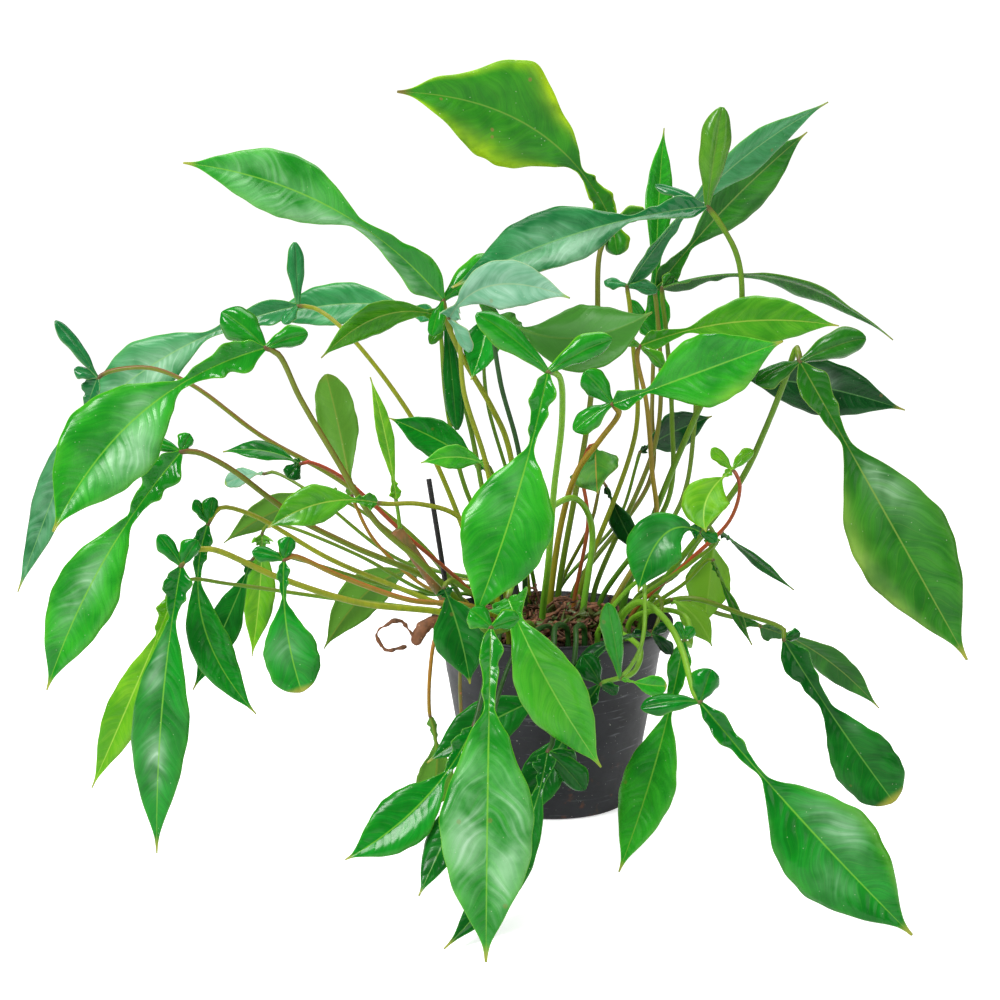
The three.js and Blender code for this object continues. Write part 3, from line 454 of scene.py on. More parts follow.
def new_material(name: str) -> tuple[bpy.types.Material, Board, Any]:
    """Makes a material with one Principled shader.

    Args:
        name: The material's name.

    Returns:
        The material, a board on its tree, and the shader node.
    """
    made = bpy.data.materials.new(name)
    made.use_nodes = True
    made.node_tree.nodes.clear()
    board = Board(made.node_tree)
    shader = board.node("ShaderNodeBsdfPrincipled")
    board.node("ShaderNodeOutputMaterial", {"Surface": shader.outputs[0]})
    return made, board, shader


@dataclass(frozen=True)
class LeafFinish:
    """The living surface of one kind of leaf."""

    name: str
    blade: str
    deep: str
    # Paler green of the streaks along the veins, partly the blade's own tone and partly painted sheen
    light: str
    rib: str = "a8c65a"
    margin: str = "9cc544"
    # Colour of the painted sheen mixed into the blade
    painted_sheen: str = "c8e4cc"
    under: str = "4c8c40"
    leaf_tip: str = "a09a3c"
    veins: float = 0.1
    glow: float = 0.1
    specks: float = 0.3
    rough: float = 0.34
    coat: float = 0.1
    shine: float = 0.28

    def build(self, groups: ShaderGroups) -> bpy.types.Material:
        """Makes the material.

        Args:
            groups: The shared shader groups.

        Returns:
            The material.
        """
        made, board, shader = new_material(self.name)
        colours = {"Blade": self.blade, "Deep": self.deep, "Light": self.light, "Rib": self.rib,
                   "Margin": self.margin, "Bloom": self.painted_sheen, "Under": self.under, "Tip": self.leaf_tip}
        feeds = {label: tint(code) for label, code in colours.items()}
        feeds |= {"Veins": self.veins, "Glow": self.glow, "Specks": self.specks, "Rough": self.rough}
        surface = board.node("ShaderNodeGroup", feeds, node_tree=groups.leaf).outputs
        bump = board.out("ShaderNodeBump", {"Strength": 0.6, "Distance": 0.001, "Height": surface["Height"]})
        board.feed(shader, {
            "Base Color": surface["Color"], "Roughness": surface["Roughness"], "Normal": bump,
            "Coat Weight": self.coat, "Coat Roughness": 0.1, "Specular IOR Level": self.shine})
        return made


@dataclass(frozen=True)
class StalkFinish:
    """The smooth skin of a leaf stalk, often redder on its upper side."""

    name: str
    skin: str
    sunny: str
    foot: str
    blush: float = 0.6

    def build(self, groups: ShaderGroups) -> bpy.types.Material:
        """Makes the material.

        Args:
            groups: The shared shader groups.

        Returns:
            The material.
        """
        made, board, shader = new_material(self.name)
        place = board.out("ShaderNodeTexCoord", None, "Object")
        share, up = board.read("leaf_state")[0], board.read("leaf_marks")[0]
        stretched = board.out("ShaderNodeMapping", {"Vector": place, "Scale": (1.0, 1.0, 0.18)})
        skin = groups.body(board, stretched, 210.0, self.skin, self.foot, 0.4)
        sunlit = board.ramp(up, -0.2, 0.7, 0.35, 1.0) * self.blush * board.ramp(share, 0.1, 0.65)
        colour = board.mix(sunlit, skin["Color"], tint(self.sunny))
        colour = board.mix(board.ramp(share, 0.25, 0.0), colour, tint(self.foot))
        colour = board.mix(board.ramp(share, 0.975, 0.995) * 0.8, colour, tint("5a3f2c"))
        colour = board.mix(groups.dots(board, place, 260.0, 0.2, 0.12) * 0.5, colour, tint("6b4a2a"))
        bump = board.out("ShaderNodeBump", {"Strength": 0.35, "Distance": 0.0005, "Height": skin["Value"]})
        board.feed(shader, {"Base Color": colour, "Specular IOR Level": 0.35, "Normal": bump,
                            "Roughness": board.ramp(skin["Value"], 0.2, 0.8, 0.3, 0.5)})
        return made


@dataclass(frozen=True)
class RoughFinish:
    """A dull natural surface, such as bark, soil or dry scales."""

    name: str
    main: str
    other: str
    fleck: str
    scale: float = 60.0
    stretch: Spot = (1.0, 1.0, 1.0)
    relief: float = 0.002
    rough: float = 0.85
    flecks: float = 0.15

    def build(self, groups: ShaderGroups) -> bpy.types.Material:
        """Makes the material.

        Args:
            groups: The shared shader groups.

        Returns:
            The material.
        """
        made, board, shader = new_material(self.name)
        place = board.out("ShaderNodeTexCoord", None, "Object")
        stretched = board.out("ShaderNodeMapping", {"Vector": place, "Scale": self.stretch})
        body = groups.body(board, stretched, self.scale, self.main, self.other, 0.9)
        dots = groups.dots(board, place, self.scale * 4, 0.3, self.flecks)
        grit = board.noise(stretched, self.scale * 3.5, 5.0)
        height = grit * 0.4 + body["Value"]
        bump = board.out("ShaderNodeBump", {"Strength": 0.8, "Distance": self.relief, "Height": height})
        low, high = max(self.rough - 0.15, 0.2), min(self.rough + 0.1, 1.0)
        board.feed(shader, {"Base Color": board.mix(dots, body["Color"], tint(self.fleck)), "Normal": bump,
                            "Roughness": board.ramp(grit, 0.3, 0.7, low, high)})
        return made


@dataclass(frozen=True)
class PotFinish:
    """Dark moulded plastic with fine turning lines, dust, scratches and rusty splashes."""

    name: str = "pot_plastic"
    main: str = "1f2026"
    other: str = "15161a"
    dust: str = "77787e"
    stain: str = "5c3828"

    def build(self, groups: ShaderGroups) -> bpy.types.Material:
        """Makes the material.

        Args:
            groups: The shared shader groups.

        Returns:
            The material.
        """
        made, board, shader = new_material(self.name)
        place = board.out("ShaderNodeTexCoord", None, "Object")
        flat = board.out("ShaderNodeMapping", {"Vector": place, "Scale": (1.0, 1.0, 14.0)})
        body = groups.body(board, place, 22.0, self.main, self.other, 1.0)
        lines = board.noise(flat, 24.0, 4.0)
        colour = board.mix(board.ramp(lines, 0.61, 0.72) * 0.4, body["Color"], tint(self.dust))
        dusty = board.ramp(board.noise(place, 9.0, 6.0), 0.5, 0.75, 0.0, 0.12)
        colour = board.mix(dusty, colour, tint(self.dust))
        for scale, size, share, strength in ((170.0, 0.13, 0.1, 0.6), (460.0, 0.2, 0.09, 0.5)):
            colour = board.mix(groups.dots(board, place, scale, size, share) * strength, colour, tint("b9b6ae"))
        splash = board.ramp(board.split(place)[2], 0.075, 0.01) * board.ramp(board.noise(place, 90.0, 5.0), 0.57, 0.7)
        colour = board.mix(splash * 0.75, colour, tint(self.stain))
        bump = board.out("ShaderNodeBump", {"Strength": 0.3, "Distance": 0.0006, "Height": lines})
        board.feed(shader, {"Base Color": colour, "Specular IOR Level": 0.35, "Normal": bump,
                            "Roughness": board.ramp(body["Value"], 0.25, 0.75, 0.34, 0.5)})
        return made


class Look(Enum):
    """The kinds of leaf surface on the plant."""

    CROWN = LeafFinish("leaf_crown", "24800a", "16620c", "3c9410", rib="6c9430", margin="a8d000",
                       under="4c8c20", leaf_tip="74542c", veins=0.08, glow=0.45, specks=0.6, rough=0.45, coat=0.0)
    FRESH = LeafFinish("leaf_fresh", "1c9414", "0b6c16", "3cac28", rib="74b434", margin="70b820",
                       glow=0.2, rough=0.27, coat=0.08)
    BRIGHT = LeafFinish("leaf_bright", "34a018", "1c8218", "5cb42c", rib="84c048", margin="8cc83c",
                        under="549c2c", leaf_tip="909c28", rough=0.32)
    MIDDLE = LeafFinish("leaf_middle", "088014", "045814", "1c982c", rib="70b434", margin="60a828",
                        glow=0.15, rough=0.24, coat=0.08, shine=0.22)
    DEEP = LeafFinish("leaf_deep", "0a6414", "044210", "1c7c24", rib="60983c", margin="4c9c2c",
                      under="3c7c3c", rough=0.24, coat=0.05, shine=0.18)
    DARK = LeafFinish("leaf_dark", "043e12", "02260c", "0c561c", rib="4c8040", margin="448c2c",
                      under="34703c", rough=0.26, coat=0.12, shine=0.2)
    SUNNY = LeafFinish("leaf_sunny", "3c9010", "247010", "64a824", rib="94b044", margin="80b82c",
                       under="548c20", rough=0.3)
    # Bluish green, its paler tone partly the leaf's own and partly painted sheen
    GLAUCOUS = LeafFinish("leaf_glaucous", "2f8c48", "186c34", "58a870", rib="84b470", margin="80b848",
                          under="4c9460", rough=0.34, coat=0.0)
    # Pale grey-green that paints the sheen of a shining upper face into the whole blade
    WAXY = LeafFinish("leaf_waxy", "70a886", "4c8c64", "a4c8b0", rib="8cac80", margin="a8b87c",
                      painted_sheen="b8ccc0", under="6c9c7c", leaf_tip="8ca838", rough=0.42, coat=0.0)
    SHEEN = LeafFinish("leaf_sheen", "187434", "0a5428", "3c9458", rib="6ca05c", margin="7cac64",
                       painted_sheen="a4ccb0", under="4c8c5c", rough=0.26, coat=0.15)
    LIME = LeafFinish("leaf_lime", "5ca80c", "3c8808", "88bc20", rib="a0c848", margin="98c430",
                      under="649818", leaf_tip="8c9028", glow=0.2, rough=0.36, coat=0.0)
    DULL = LeafFinish("leaf_dull", "1f6e10", "10540c", "3c8c1c", rib="78943c", margin="7ca03c",
                      under="3c7c24", rough=0.34, coat=0.0)
    BACK = LeafFinish("leaf_back", "388020", "24681c", "64982c", rib="a88434", margin="9cac50",
                      under="54881c", leaf_tip="84742c", rough=0.42, coat=0.0)
    OLIVE = LeafFinish("leaf_olive", "4c8c1c", "347018", "74a830", rib="90b450", margin="84a43c",
                       under="54902c", rough=0.34)


class Skin(Enum):
    """The kinds of stalk skin."""

    GREEN = StalkFinish("stalk_green", "5c9010", "745c20", "387018", 0.45)
    YELLOW = StalkFinish("stalk_yellow", "8c9c10", "887420", "4c7418", 0.5)
    LIGHT = StalkFinish("stalk_light", "70a824", "849430", "509020", 0.2)
    BROWN = StalkFinish("stalk_brown", "6c8c18", "744420", "48741c", 0.85)
    ORANGE = StalkFinish("stalk_orange", "8c8818", "a45c24", "58701c", 0.85)
    RED = StalkFinish("stalk_red", "985020", "b03820", "585c1c", 1.0)
    DARK = StalkFinish("stalk_dark", "22541c", "344018", "1f4418", 0.3)


# The plant as data


class Size(Enum):
    """Leaf sizes: rows and columns of the fine blade, and the stalk's radius."""

    LARGE = (150, 10, 0.0028)
    MEDIUM = (112, 9, 0.0024)
    SMALL = (76, 7, 0.0019)


@dataclass(frozen=True)
class Mark:
    """A soft patch on a blade: its place along and across, its reach and its strength."""

    share: float
    v: float
    reach: float
    spread: float
    strength: float

    def mask(self, share: np.ndarray, v: np.ndarray) -> np.ndarray:
        """Gives the patch's strength at places on the blade."""
        away = ((share - self.share) / self.reach) ** 2 + ((v - self.v) / self.spread) ** 2
        return self.strength * np.exp(-away)


@dataclass(frozen=True)
class Ear:
    """A rounded ear: the spot of its tip, its half-width and its turn about its own rib."""

    tip: Spot
    wide: float
    turn: float
    look: "Look | None" = None


@dataclass(frozen=True)
class Leaf:
    """A leaf, from spots seen in the picture at a known depth.

    Spots are pixels across, pixels down and millimetres of depth. A root is x and y in the soil,
    or a full place on a stem. Roots and widths are millimetres too.
    """

    name: str
    size: Size
    look: Look
    wide: float
    turn: float
    knee: Spot
    neck: Spot
    tip: Spot
    stalk: tuple[Spot, ...]
    root: tuple[float, ...]
    twist: float = 0
    ears: tuple[Ear, ...] = ()
    neck_wide: float = 1.0
    blunt: bool = False
    node: str = ""
    skin: Skin = Skin.GREEN
    wavy: float = 1.0
    quilt: float = 0.9
    glow: tuple[Mark, ...] = ()
    # Patches of painted sheen that lighten the blade as if it shone
    painted_sheen: tuple[Mark, ...] = ()
    shape: tuple[Mark, ...] = ()

    @property
    def piece(self) -> str:
        """The CAD node that this leaf is part of."""
        return self.node or self.name

    @property
    def seed(self) -> float:
        """A number of this leaf's own that sets its waves."""
        return self.knee[0] * 0.37 + self.knee[1] * 0.11


LEAVES = [
    # Top of the bush
    Leaf("leaf_top_crown", Size.LARGE, Look.CROWN, wide=50, turn=8, twist=8, knee=(612, 222, 20), neck=(578, 168, 10),
         tip=(397, 92, -40), ears=(Ear((646, 214, 34), 9, 30), Ear((618, 255, 14), 13, 20)),
         stalk=((600, 252, 14), (597, 330, 12), (588, 420, 22)), root=(8, 52), shape=(Mark(0.8, 1, 0.08, 0.8, -0.34),
         Mark(0.46, 1, 0.06, 0.8, -0.14), Mark(0.6, 1, 0.05, 0.8, 0.06)), glow=(Mark(0.5, 0.95, 0.07, 0.3, 1.0),
         Mark(0.7, -1.0, 0.18, 0.3, 0.9)), skin=Skin.BROWN),
    Leaf("leaf_top_long", Size.LARGE, Look.SHEEN, wide=34, turn=28, twist=8, wavy=0.35, quilt=1.2,
         knee=(707, 207, -20), neck=(628, 220, -40), tip=(452, 288, -86),
         ears=(Ear((722, 107, -24), 14.5, 12, Look.OLIVE), Ear((655, 186, -8), 7, 55)), stalk=((735, 250, -20),
         (742, 292, -16), (735, 342, -8), (694, 420, 4)), root=(72, 16), painted_sheen=(Mark(0.6, -0.6, 0.3, 0.5, 0.9),
         Mark(0.62, 0.4, 0.12, 0.3, 0.5))),
    Leaf("leaf_top_left", Size.LARGE, Look.FRESH, wide=31, turn=6, twist=18, neck_wide=1.35, wavy=0.3,
         knee=(443, 300, -60), neck=(355, 222, -85), tip=(183, 163, -130), ears=(Ear((500, 260, -46), 14, 10),
         Ear((432, 336, -62), 9, 30)), stalk=((447, 322, -50), (462, 356, -35), (492, 408, -10), (508, 445, 6)),
         root=(-22, 34), skin=Skin.YELLOW, painted_sheen=(Mark(0.35, -0.7, 0.3, 0.5, 0.6), Mark(0.7, 0.0, 0.2, 1.0, 0.4))),
    Leaf("leaf_top_pale", Size.MEDIUM, Look.WAXY, wide=22, turn=14, twist=-10, neck_wide=1.5, knee=(449, 318, -112),
         neck=(458, 305, -118), tip=(570, 298, -150), ears=(Ear((470, 352, -118), 8, 40),),
         stalk=((457, 326, -104), (464, 392, -84), (487, 468, -52)), root=(-44, 8), skin=Skin.YELLOW),
    Leaf("leaf_top_narrow", Size.MEDIUM, Look.GLAUCOUS, wide=23, turn=52, twist=-6, wavy=0.3, knee=(627, 286, 50),
         neck=(688, 208, 75), tip=(828, 102, 120), ears=(Ear((604, 282, 54), 7, 40), Ear((657, 292, 44), 8, 30)),
         stalk=((629, 300, 54), (633, 345, 53), (636, 430, 57)), root=(30, 60), skin=Skin.YELLOW),
    Leaf("leaf_top_dark", Size.MEDIUM, Look.DULL, wide=28, turn=12, twist=10, wavy=0.2, knee=(655, 290, 114),
         neck=(692, 244, 138), tip=(807, 132, 198), ears=(Ear((680, 284, 110), 8, 40),),
         stalk=((656, 302, 118), (660, 350, 112), (656, 440, 98)), root=(46, 72), skin=Skin.BROWN),
    Leaf("leaf_top_upright", Size.MEDIUM, Look.FRESH, wide=17, turn=16, twist=16, neck_wide=1.3, wavy=0.4,
         knee=(656, 342, 154), neck=(656, 262, 167), tip=(664, 128, 208), ears=(Ear((630, 300, 148), 8, 30),
         Ear((640, 322, 144), 7, 20)), stalk=((654, 352, 154), (652, 410, 141), (650, 480, 115)), root=(26, 84),
         skin=Skin.BROWN),
    Leaf("leaf_top_arching", Size.MEDIUM, Look.DULL, wide=22, turn=68, twist=8, wavy=0.3, knee=(662, 288, 30),
         neck=(738, 274, 42), tip=(893, 340, 52), ears=(Ear((674, 276, 40), 7, 20),), stalk=((662, 296, 32),
         (666, 330, 26), (672, 420, 25), (668, 500, 22)), root=(50, 32)),
    # Upper right
    Leaf("leaf_right_bright", Size.LARGE, Look.FRESH, wide=33, turn=6, twist=6, neck_wide=1.2, wavy=0.3,
         knee=(612, 404, -120), neck=(650, 390, -128), tip=(783, 341, -170), ears=(Ear((574, 431, -118), 11, 20),
         Ear((584, 372, -122), 12, 10)), stalk=((619, 412, -110), (600, 440, -84), (578, 470, -56), (562, 520, -22)),
         root=(-2, 4), glow=(Mark(0.72, 0.95, 0.12, 0.25, 0.8),), skin=Skin.ORANGE),
    Leaf("leaf_right_oval", Size.MEDIUM, Look.SUNNY, wide=24, turn=-8, wavy=0.25, knee=(640, 346, -30),
         neck=(690, 330, -29), tip=(839, 326, -34), ears=(Ear((614, 338, -38), 7, 30), Ear((664, 368, -36), 8, 40)),
         stalk=((637, 356, -24), (646, 400, -15), (652, 470, -2), (655, 525, 7)), root=(58, -4), skin=Skin.ORANGE),
    Leaf("leaf_right_dark", Size.MEDIUM, Look.DARK, wide=30, turn=12, painted_sheen=(Mark(0.62, -0.3, 0.06, 0.3, 0.7),),
         knee=(700, 374, 90), neck=(748, 376, 98), tip=(905, 410, 100), ears=(Ear((690, 350, 94), 8, 30),),
         stalk=((697, 384, 94), (694, 430, 80), (682, 500, 60)), root=(74, 52)),
    Leaf("leaf_right_hanging", Size.LARGE, Look.DULL, wide=43, turn=-6, twist=10, wavy=0.45, knee=(800, 362, -150),
         neck=(848, 447, -175), tip=(967, 660, -224), ears=(Ear((866, 338, -160), 13, 12),
         Ear((756, 384, -142), 12, 40)), stalk=((797, 348, -142), (785, 380, -130), (765, 430, -104),
         (740, 482, -74)), root=(92, -12), glow=(Mark(0.66, 1.0, 0.2, 0.3, 1.0),),
         painted_sheen=(Mark(0.44, -0.4, 0.1, 0.4, 0.5),)),
    Leaf("leaf_right_small", Size.SMALL, Look.LIME, wide=22, turn=6, knee=(732, 470, -112), neck=(722, 478, -114),
         tip=(706, 532, -160), ears=(Ear((711, 449, -112), 6, 20), Ear((753, 450, -112), 6, 20)),
         stalk=((736, 474, -104), (740, 486, -98), (730, 520, -80), (690, 560, -56)), root=(76, -30), skin=Skin.RED),
    Leaf("leaf_right_shade", Size.SMALL, Look.MIDDLE, wide=26, turn=4, neck_wide=1.8,
         painted_sheen=(Mark(0.6, 0.0, 0.2, 0.6, 0.2),), knee=(700, 532, -140), neck=(690, 528, -142), tip=(638, 592, -156),
         ears=(Ear((716, 542, -134), 6, 30),), stalk=((704, 522, -132), (716, 540, -116), (692, 562, -86)),
         root=(60, -46)),
    Leaf("leaf_right_lime", Size.SMALL, Look.LIME, wide=24, turn=160, neck_wide=1.8, knee=(714, 540, -10),
         neck=(713, 550, -4), tip=(704, 627, -4), stalk=((711, 530, -6), (700, 540, -7), (676, 575, 1)),
         root=(84, 38), node="leaves_right_back"),
    Leaf("leaf_right_edge", Size.SMALL, Look.DEEP, wide=9, turn=55, knee=(722, 532, 70), neck=(732, 540, 82),
         tip=(794, 590, 96), stalk=((716, 536, 72), (690, 560, 59)), root=(84, 38), node="leaves_right_back"),
    Leaf("leaf_right_blade", Size.SMALL, Look.DULL, wide=9, turn=60, knee=(713, 560, -72), neck=(722, 580, -74),
         tip=(752, 645, -86), stalk=((708, 560, -66), (686, 582, -48)), root=(88, -28), node="leaves_right_low"),
    Leaf("leaf_right_low_lime", Size.SMALL, Look.LIME, wide=15, turn=150, neck_wide=1.6, knee=(672, 600, -96),
         neck=(676, 602, -98), tip=(712, 646, -110), stalk=((668, 600, -70),), root=(88, -28), node="leaves_right_low"),
    Leaf("leaf_inner_dark", Size.SMALL, Look.DARK, wide=22, turn=20, knee=(640, 452, 100), neck=(648, 446, 110),
         tip=(712, 416, 130), stalk=((636, 466, 102), (618, 520, 99)), root=(10, 84), node="leaves_inner_back"),
    Leaf("leaf_inner_lime", Size.SMALL, Look.BACK, wide=27, turn=30, neck_wide=1.8, knee=(596, 444, -14),
         neck=(596, 450, -18), tip=(598, 494, -56), ears=(Ear((588, 462, -24), 6, 20),),
         stalk=((590, 446, -6), (582, 470, 0), (588, 520, 4)), root=(22, 12), skin=Skin.RED),
    Leaf("leaf_inner_hanging", Size.SMALL, Look.DARK, wide=14, turn=30, knee=(606, 486, 60), neck=(612, 500, 64),
         tip=(640, 556, 72), stalk=((602, 480, 66), (592, 520, 59)), root=(10, 84), node="leaves_inner_back",
         skin=Skin.BROWN),
    # Middle front
    Leaf("leaf_front_middle", Size.LARGE, Look.FRESH, wide=38, turn=6, knee=(548, 372, -250), neck=(530, 450, -262),
         tip=(474, 619, -286), ears=(Ear((476, 314, -252), 12, 20), Ear((612, 339, -248), 11, 20)),
         stalk=((559, 376, -232), (562, 420, -180), (554, 490, -124), (549, 556, -84)), root=(-10, -34),
         skin=Skin.LIGHT, painted_sheen=(Mark(0.5, 0.3, 0.12, 0.3, 0.25),)),
    Leaf("leaf_front_behind", Size.MEDIUM, Look.DULL, wide=32, turn=168, neck_wide=1.6, knee=(498, 316, -80),
         neck=(524, 330, -86), tip=(652, 312, -120), ears=(Ear((480, 300, -84), 7, 30),),
         stalk=((494, 328, -74), (500, 380, -60), (520, 460, -30)), root=(-26, 14), skin=Skin.DARK),
    Leaf("leaf_middle_pointed", Size.SMALL, Look.MIDDLE, wide=19, turn=20, neck_wide=1.6, knee=(490, 306, -26),
         neck=(489, 315, -28), tip=(471, 380, -44), stalk=((489, 298, -18), (484, 340, -6), (487, 400, 10),
         (512, 490, 30)), root=(-14, 62)),
    # Upper left
    Leaf("leaf_left_pointed", Size.MEDIUM, Look.SUNNY, wide=17, turn=-14, twist=-20, neck_wide=1.7, wavy=0.3,
         knee=(446, 318, 4), neck=(424, 312, -2), tip=(321, 358, -30), ears=(Ear((457, 430, -22), 10, 10, Look.DEEP),
         Ear((430, 344, 0), 7, 30)), stalk=((450, 326, 10), (456, 370, 12), (473, 440, 8)), root=(-52, 28)),
    Leaf("leaf_left_back", Size.MEDIUM, Look.GLAUCOUS, wide=24, turn=10, wavy=0.3, knee=(436, 318, 136),
         neck=(402, 308, 156), tip=(258, 322, 192), stalk=((440, 330, 138), (446, 400, 123), (466, 490, 101)),
         root=(-34, 86)),
    Leaf("leaf_left_arching", Size.MEDIUM, Look.GLAUCOUS, wide=31, turn=8, twist=10, wavy=0.3, knee=(298, 306, 110),
         neck=(206, 336, 115), tip=(82, 424, 146), ears=(Ear((295, 242, 110), 9, 12), Ear((284, 324, 94), 7, 30)),
         stalk=((314, 308, 112), (346, 332, 101), (412, 418, 92), (452, 500, 77)), root=(-68, 58),
         painted_sheen=(Mark(0.7, -0.3, 0.3, 0.7, 0.9),), skin=Skin.YELLOW),
    Leaf("leaf_left_large", Size.LARGE, Look.FRESH, wide=41, turn=0, twist=6, neck_wide=1.25, wavy=0.8, quilt=1.2,
         knee=(265, 348, -114), neck=(178, 386, -143), tip=(53, 532, -208), ears=(Ear((222, 312, -102), 16, 12),
         Ear((308, 334, -108), 10, 16)), stalk=((278, 354, -108), (300, 398, -96), (332, 452, -84), (376, 522, -70),
         (420, 562, -58)), root=(-84, -26), skin=Skin.BROWN, painted_sheen=(Mark(0.62, -0.45, 0.12, 0.4, 1.0),
         Mark(0.46, 0.3, 0.08, 0.3, 0.4))),
    Leaf("leaf_left_far", Size.MEDIUM, Look.SHEEN, wide=22, turn=34, wavy=0.5, knee=(98, 378, 30), neck=(86, 410, 33),
         tip=(18, 592, 24), ears=(Ear((55, 321, 32), 8, 30), Ear((74, 370, 28), 8, 40)), stalk=((108, 372, 34),
         (150, 368, 32), (192, 385, 30), (260, 435, 30), (342, 482, 32), (428, 552, 32)), root=(-88, 20),
         skin=Skin.BROWN, painted_sheen=(Mark(0.7, 0.0, 0.3, 0.8, 0.7),)),
    Leaf("leaf_left_wavy", Size.LARGE, Look.FRESH, wide=31, turn=4, twist=12, neck_wide=1.3, knee=(181, 452, -96),
         neck=(128, 522, -108), tip=(47, 690, -128), ears=(Ear((138, 439, -96), 8, 20), Ear((190, 434, -90), 8, 20)),
         stalk=((196, 452, -90), (226, 466, -74), (272, 500, -46), (300, 520, -30), (352, 546, -22), (436, 584, -16)),
         root=(-94, -6), skin=Skin.BROWN, painted_sheen=(Mark(0.6, 0.2, 0.13, 0.4, 0.7),)),
    # Lower left
    Leaf("leaf_left_glossy", Size.LARGE, Look.MIDDLE, wide=26, turn=4, twist=10, wavy=0.7, quilt=1.3,
         knee=(181, 566, -172), neck=(172, 622, -178), tip=(157, 853, -196), ears=(Ear((158, 535, -172), 8, 20),
         Ear((197, 540, -170), 9, 20)), stalk=((192, 552, -166), (210, 549, -160), (280, 578, -134), (360, 603, -112),
         (440, 612, -92)), root=(-66, -64), skin=Skin.YELLOW, painted_sheen=(Mark(0.46, 0.5, 0.06, 0.35, 0.9),
         Mark(0.72, 0.1, 0.07, 0.35, 0.9))),
    Leaf("leaf_left_slim", Size.MEDIUM, Look.MIDDLE, wide=20, turn=12, twist=-12, knee=(208, 524, -56),
         neck=(198, 580, -58), tip=(256, 714, -66), ears=(Ear((194, 500, -56), 6, 30), Ear((213, 497, -54), 8, 20)),
         stalk=((220, 508, -50), (250, 514, -46), (332, 560, -46), (424, 598, -52)), root=(-72, -48),
         node="leaves_left_slim", skin=Skin.YELLOW),
    Leaf("leaf_left_lime", Size.SMALL, Look.LIME, wide=17, turn=0, twist=10, neck_wide=1.6, knee=(262, 534, 62),
         neck=(262, 546, 68), tip=(252, 657, 72), stalk=((268, 524, 64), (286, 526, 58), (360, 556, 53),
         (428, 592, 46)), root=(-76, 56), node="leaves_left_low"),
    Leaf("leaf_left_shaded", Size.SMALL, Look.DEEP, wide=20, turn=30, knee=(252, 560, -4), neck=(246, 576, -4),
         tip=(193, 690, -20), stalk=((262, 552, 4), (300, 560, 16), (380, 584, 38), (426, 594, 50)), root=(-76, 56),
         node="leaves_left_low"),
    Leaf("leaf_left_behind", Size.SMALL, Look.LIME, wide=19, turn=20, knee=(176, 592, -112), neck=(156, 640, -118),
         tip=(92, 788, -136), stalk=((188, 580, -108), (230, 584, -98), (330, 598, -84), (428, 610, -66)),
         root=(-72, -48), node="leaves_left_slim"),
    Leaf("leaf_left_blunt", Size.MEDIUM, Look.MIDDLE, wide=24, turn=4, blunt=True, knee=(284, 560, -206),
         neck=(284, 600, -210), tip=(302, 692, -216), ears=(Ear((252, 552, -206), 7, 20),
         Ear((290, 537, -202), 8, 20)), stalk=((292, 556, -200), (340, 576, -172), (410, 600, -140),
         (470, 606, -112)), root=(-44, -72), skin=Skin.ORANGE, painted_sheen=(Mark(0.66, 0.2, 0.12, 0.5, 0.3),)),
    Leaf("leaf_left_pale_back", Size.SMALL, Look.BACK, wide=19, turn=158, neck_wide=1.4, knee=(340, 500, 98),
         neck=(318, 500, 111), tip=(224, 543, 134), stalk=((350, 504, 100), (400, 540, 91), (440, 580, 75)),
         root=(-46, 72)),
    Leaf("leaf_left_level", Size.MEDIUM, Look.SUNNY, wide=19, turn=10, neck_wide=1.5, knee=(378, 503, -84),
         neck=(352, 500, -88), tip=(268, 528, -102), stalk=((388, 504, -78), (420, 504, -62), (462, 520, -40)),
         root=(-50, -22), skin=Skin.YELLOW),
    Leaf("leaf_left_rolled", Size.SMALL, Look.WAXY, wide=11, turn=30, blunt=True, knee=(264, 474, 134),
         neck=(258, 474, 140), tip=(225, 484, 154), stalk=((272, 472, 136), (310, 492, 121), (400, 560, 105)),
         root=(-44, 86), node="leaves_left_back"),
    Leaf("leaf_left_hooked", Size.SMALL, Look.DEEP, wide=12, turn=24, twist=30, neck_wide=1.2, knee=(300, 464, -50),
         neck=(292, 460, -50), tip=(223, 452, -46), ears=(Ear((288, 478, -54), 9, 10),),
         stalk=((308, 462, -44), (340, 476, -30), (400, 530, -10)), root=(-68, 4), skin=Skin.RED),
    Leaf("leaf_left_erect", Size.SMALL, Look.BACK, wide=21, turn=172, blunt=True, knee=(352, 496, 54),
         neck=(349, 478, 63), tip=(326, 374, 94), stalk=((356, 506, 56), (374, 540, 49), (424, 586, 39)),
         root=(-84, 30), skin=Skin.ORANGE),
    Leaf("leaf_left_spear", Size.SMALL, Look.LIME, wide=8, turn=10, knee=(396, 500, -46), neck=(393, 478, -46),
         tip=(370, 377, -50), stalk=((398, 512, -40),), root=(-146, -34, 268), skin=Skin.LIGHT),
    Leaf("leaf_left_heart", Size.SMALL, Look.MIDDLE, wide=20, turn=10, neck_wide=1.4, knee=(484, 468, 46),
         neck=(472, 460, 42), tip=(389, 418, 30), stalk=((490, 474, 48), (500, 520, 44)), root=(-32, 36),
         node="leaves_left_inner"),
    Leaf("leaf_left_bright", Size.SMALL, Look.BRIGHT, wide=12, turn=8, neck_wide=1.3, knee=(488, 466, -30),
         neck=(480, 462, -34), tip=(421, 463, -50), stalk=((492, 472, -22), (502, 520, 4)), root=(-32, 36),
         node="leaves_left_inner"),
    Leaf("leaf_left_low_back", Size.SMALL, Look.BACK, wide=24, turn=168, neck_wide=1.6, knee=(414, 570, 128),
         neck=(402, 572, 139), tip=(324, 649, 156), stalk=((422, 566, 132), (450, 576, 116)), root=(-44, 86),
         node="leaves_left_back", skin=Skin.YELLOW),
    # Lower front
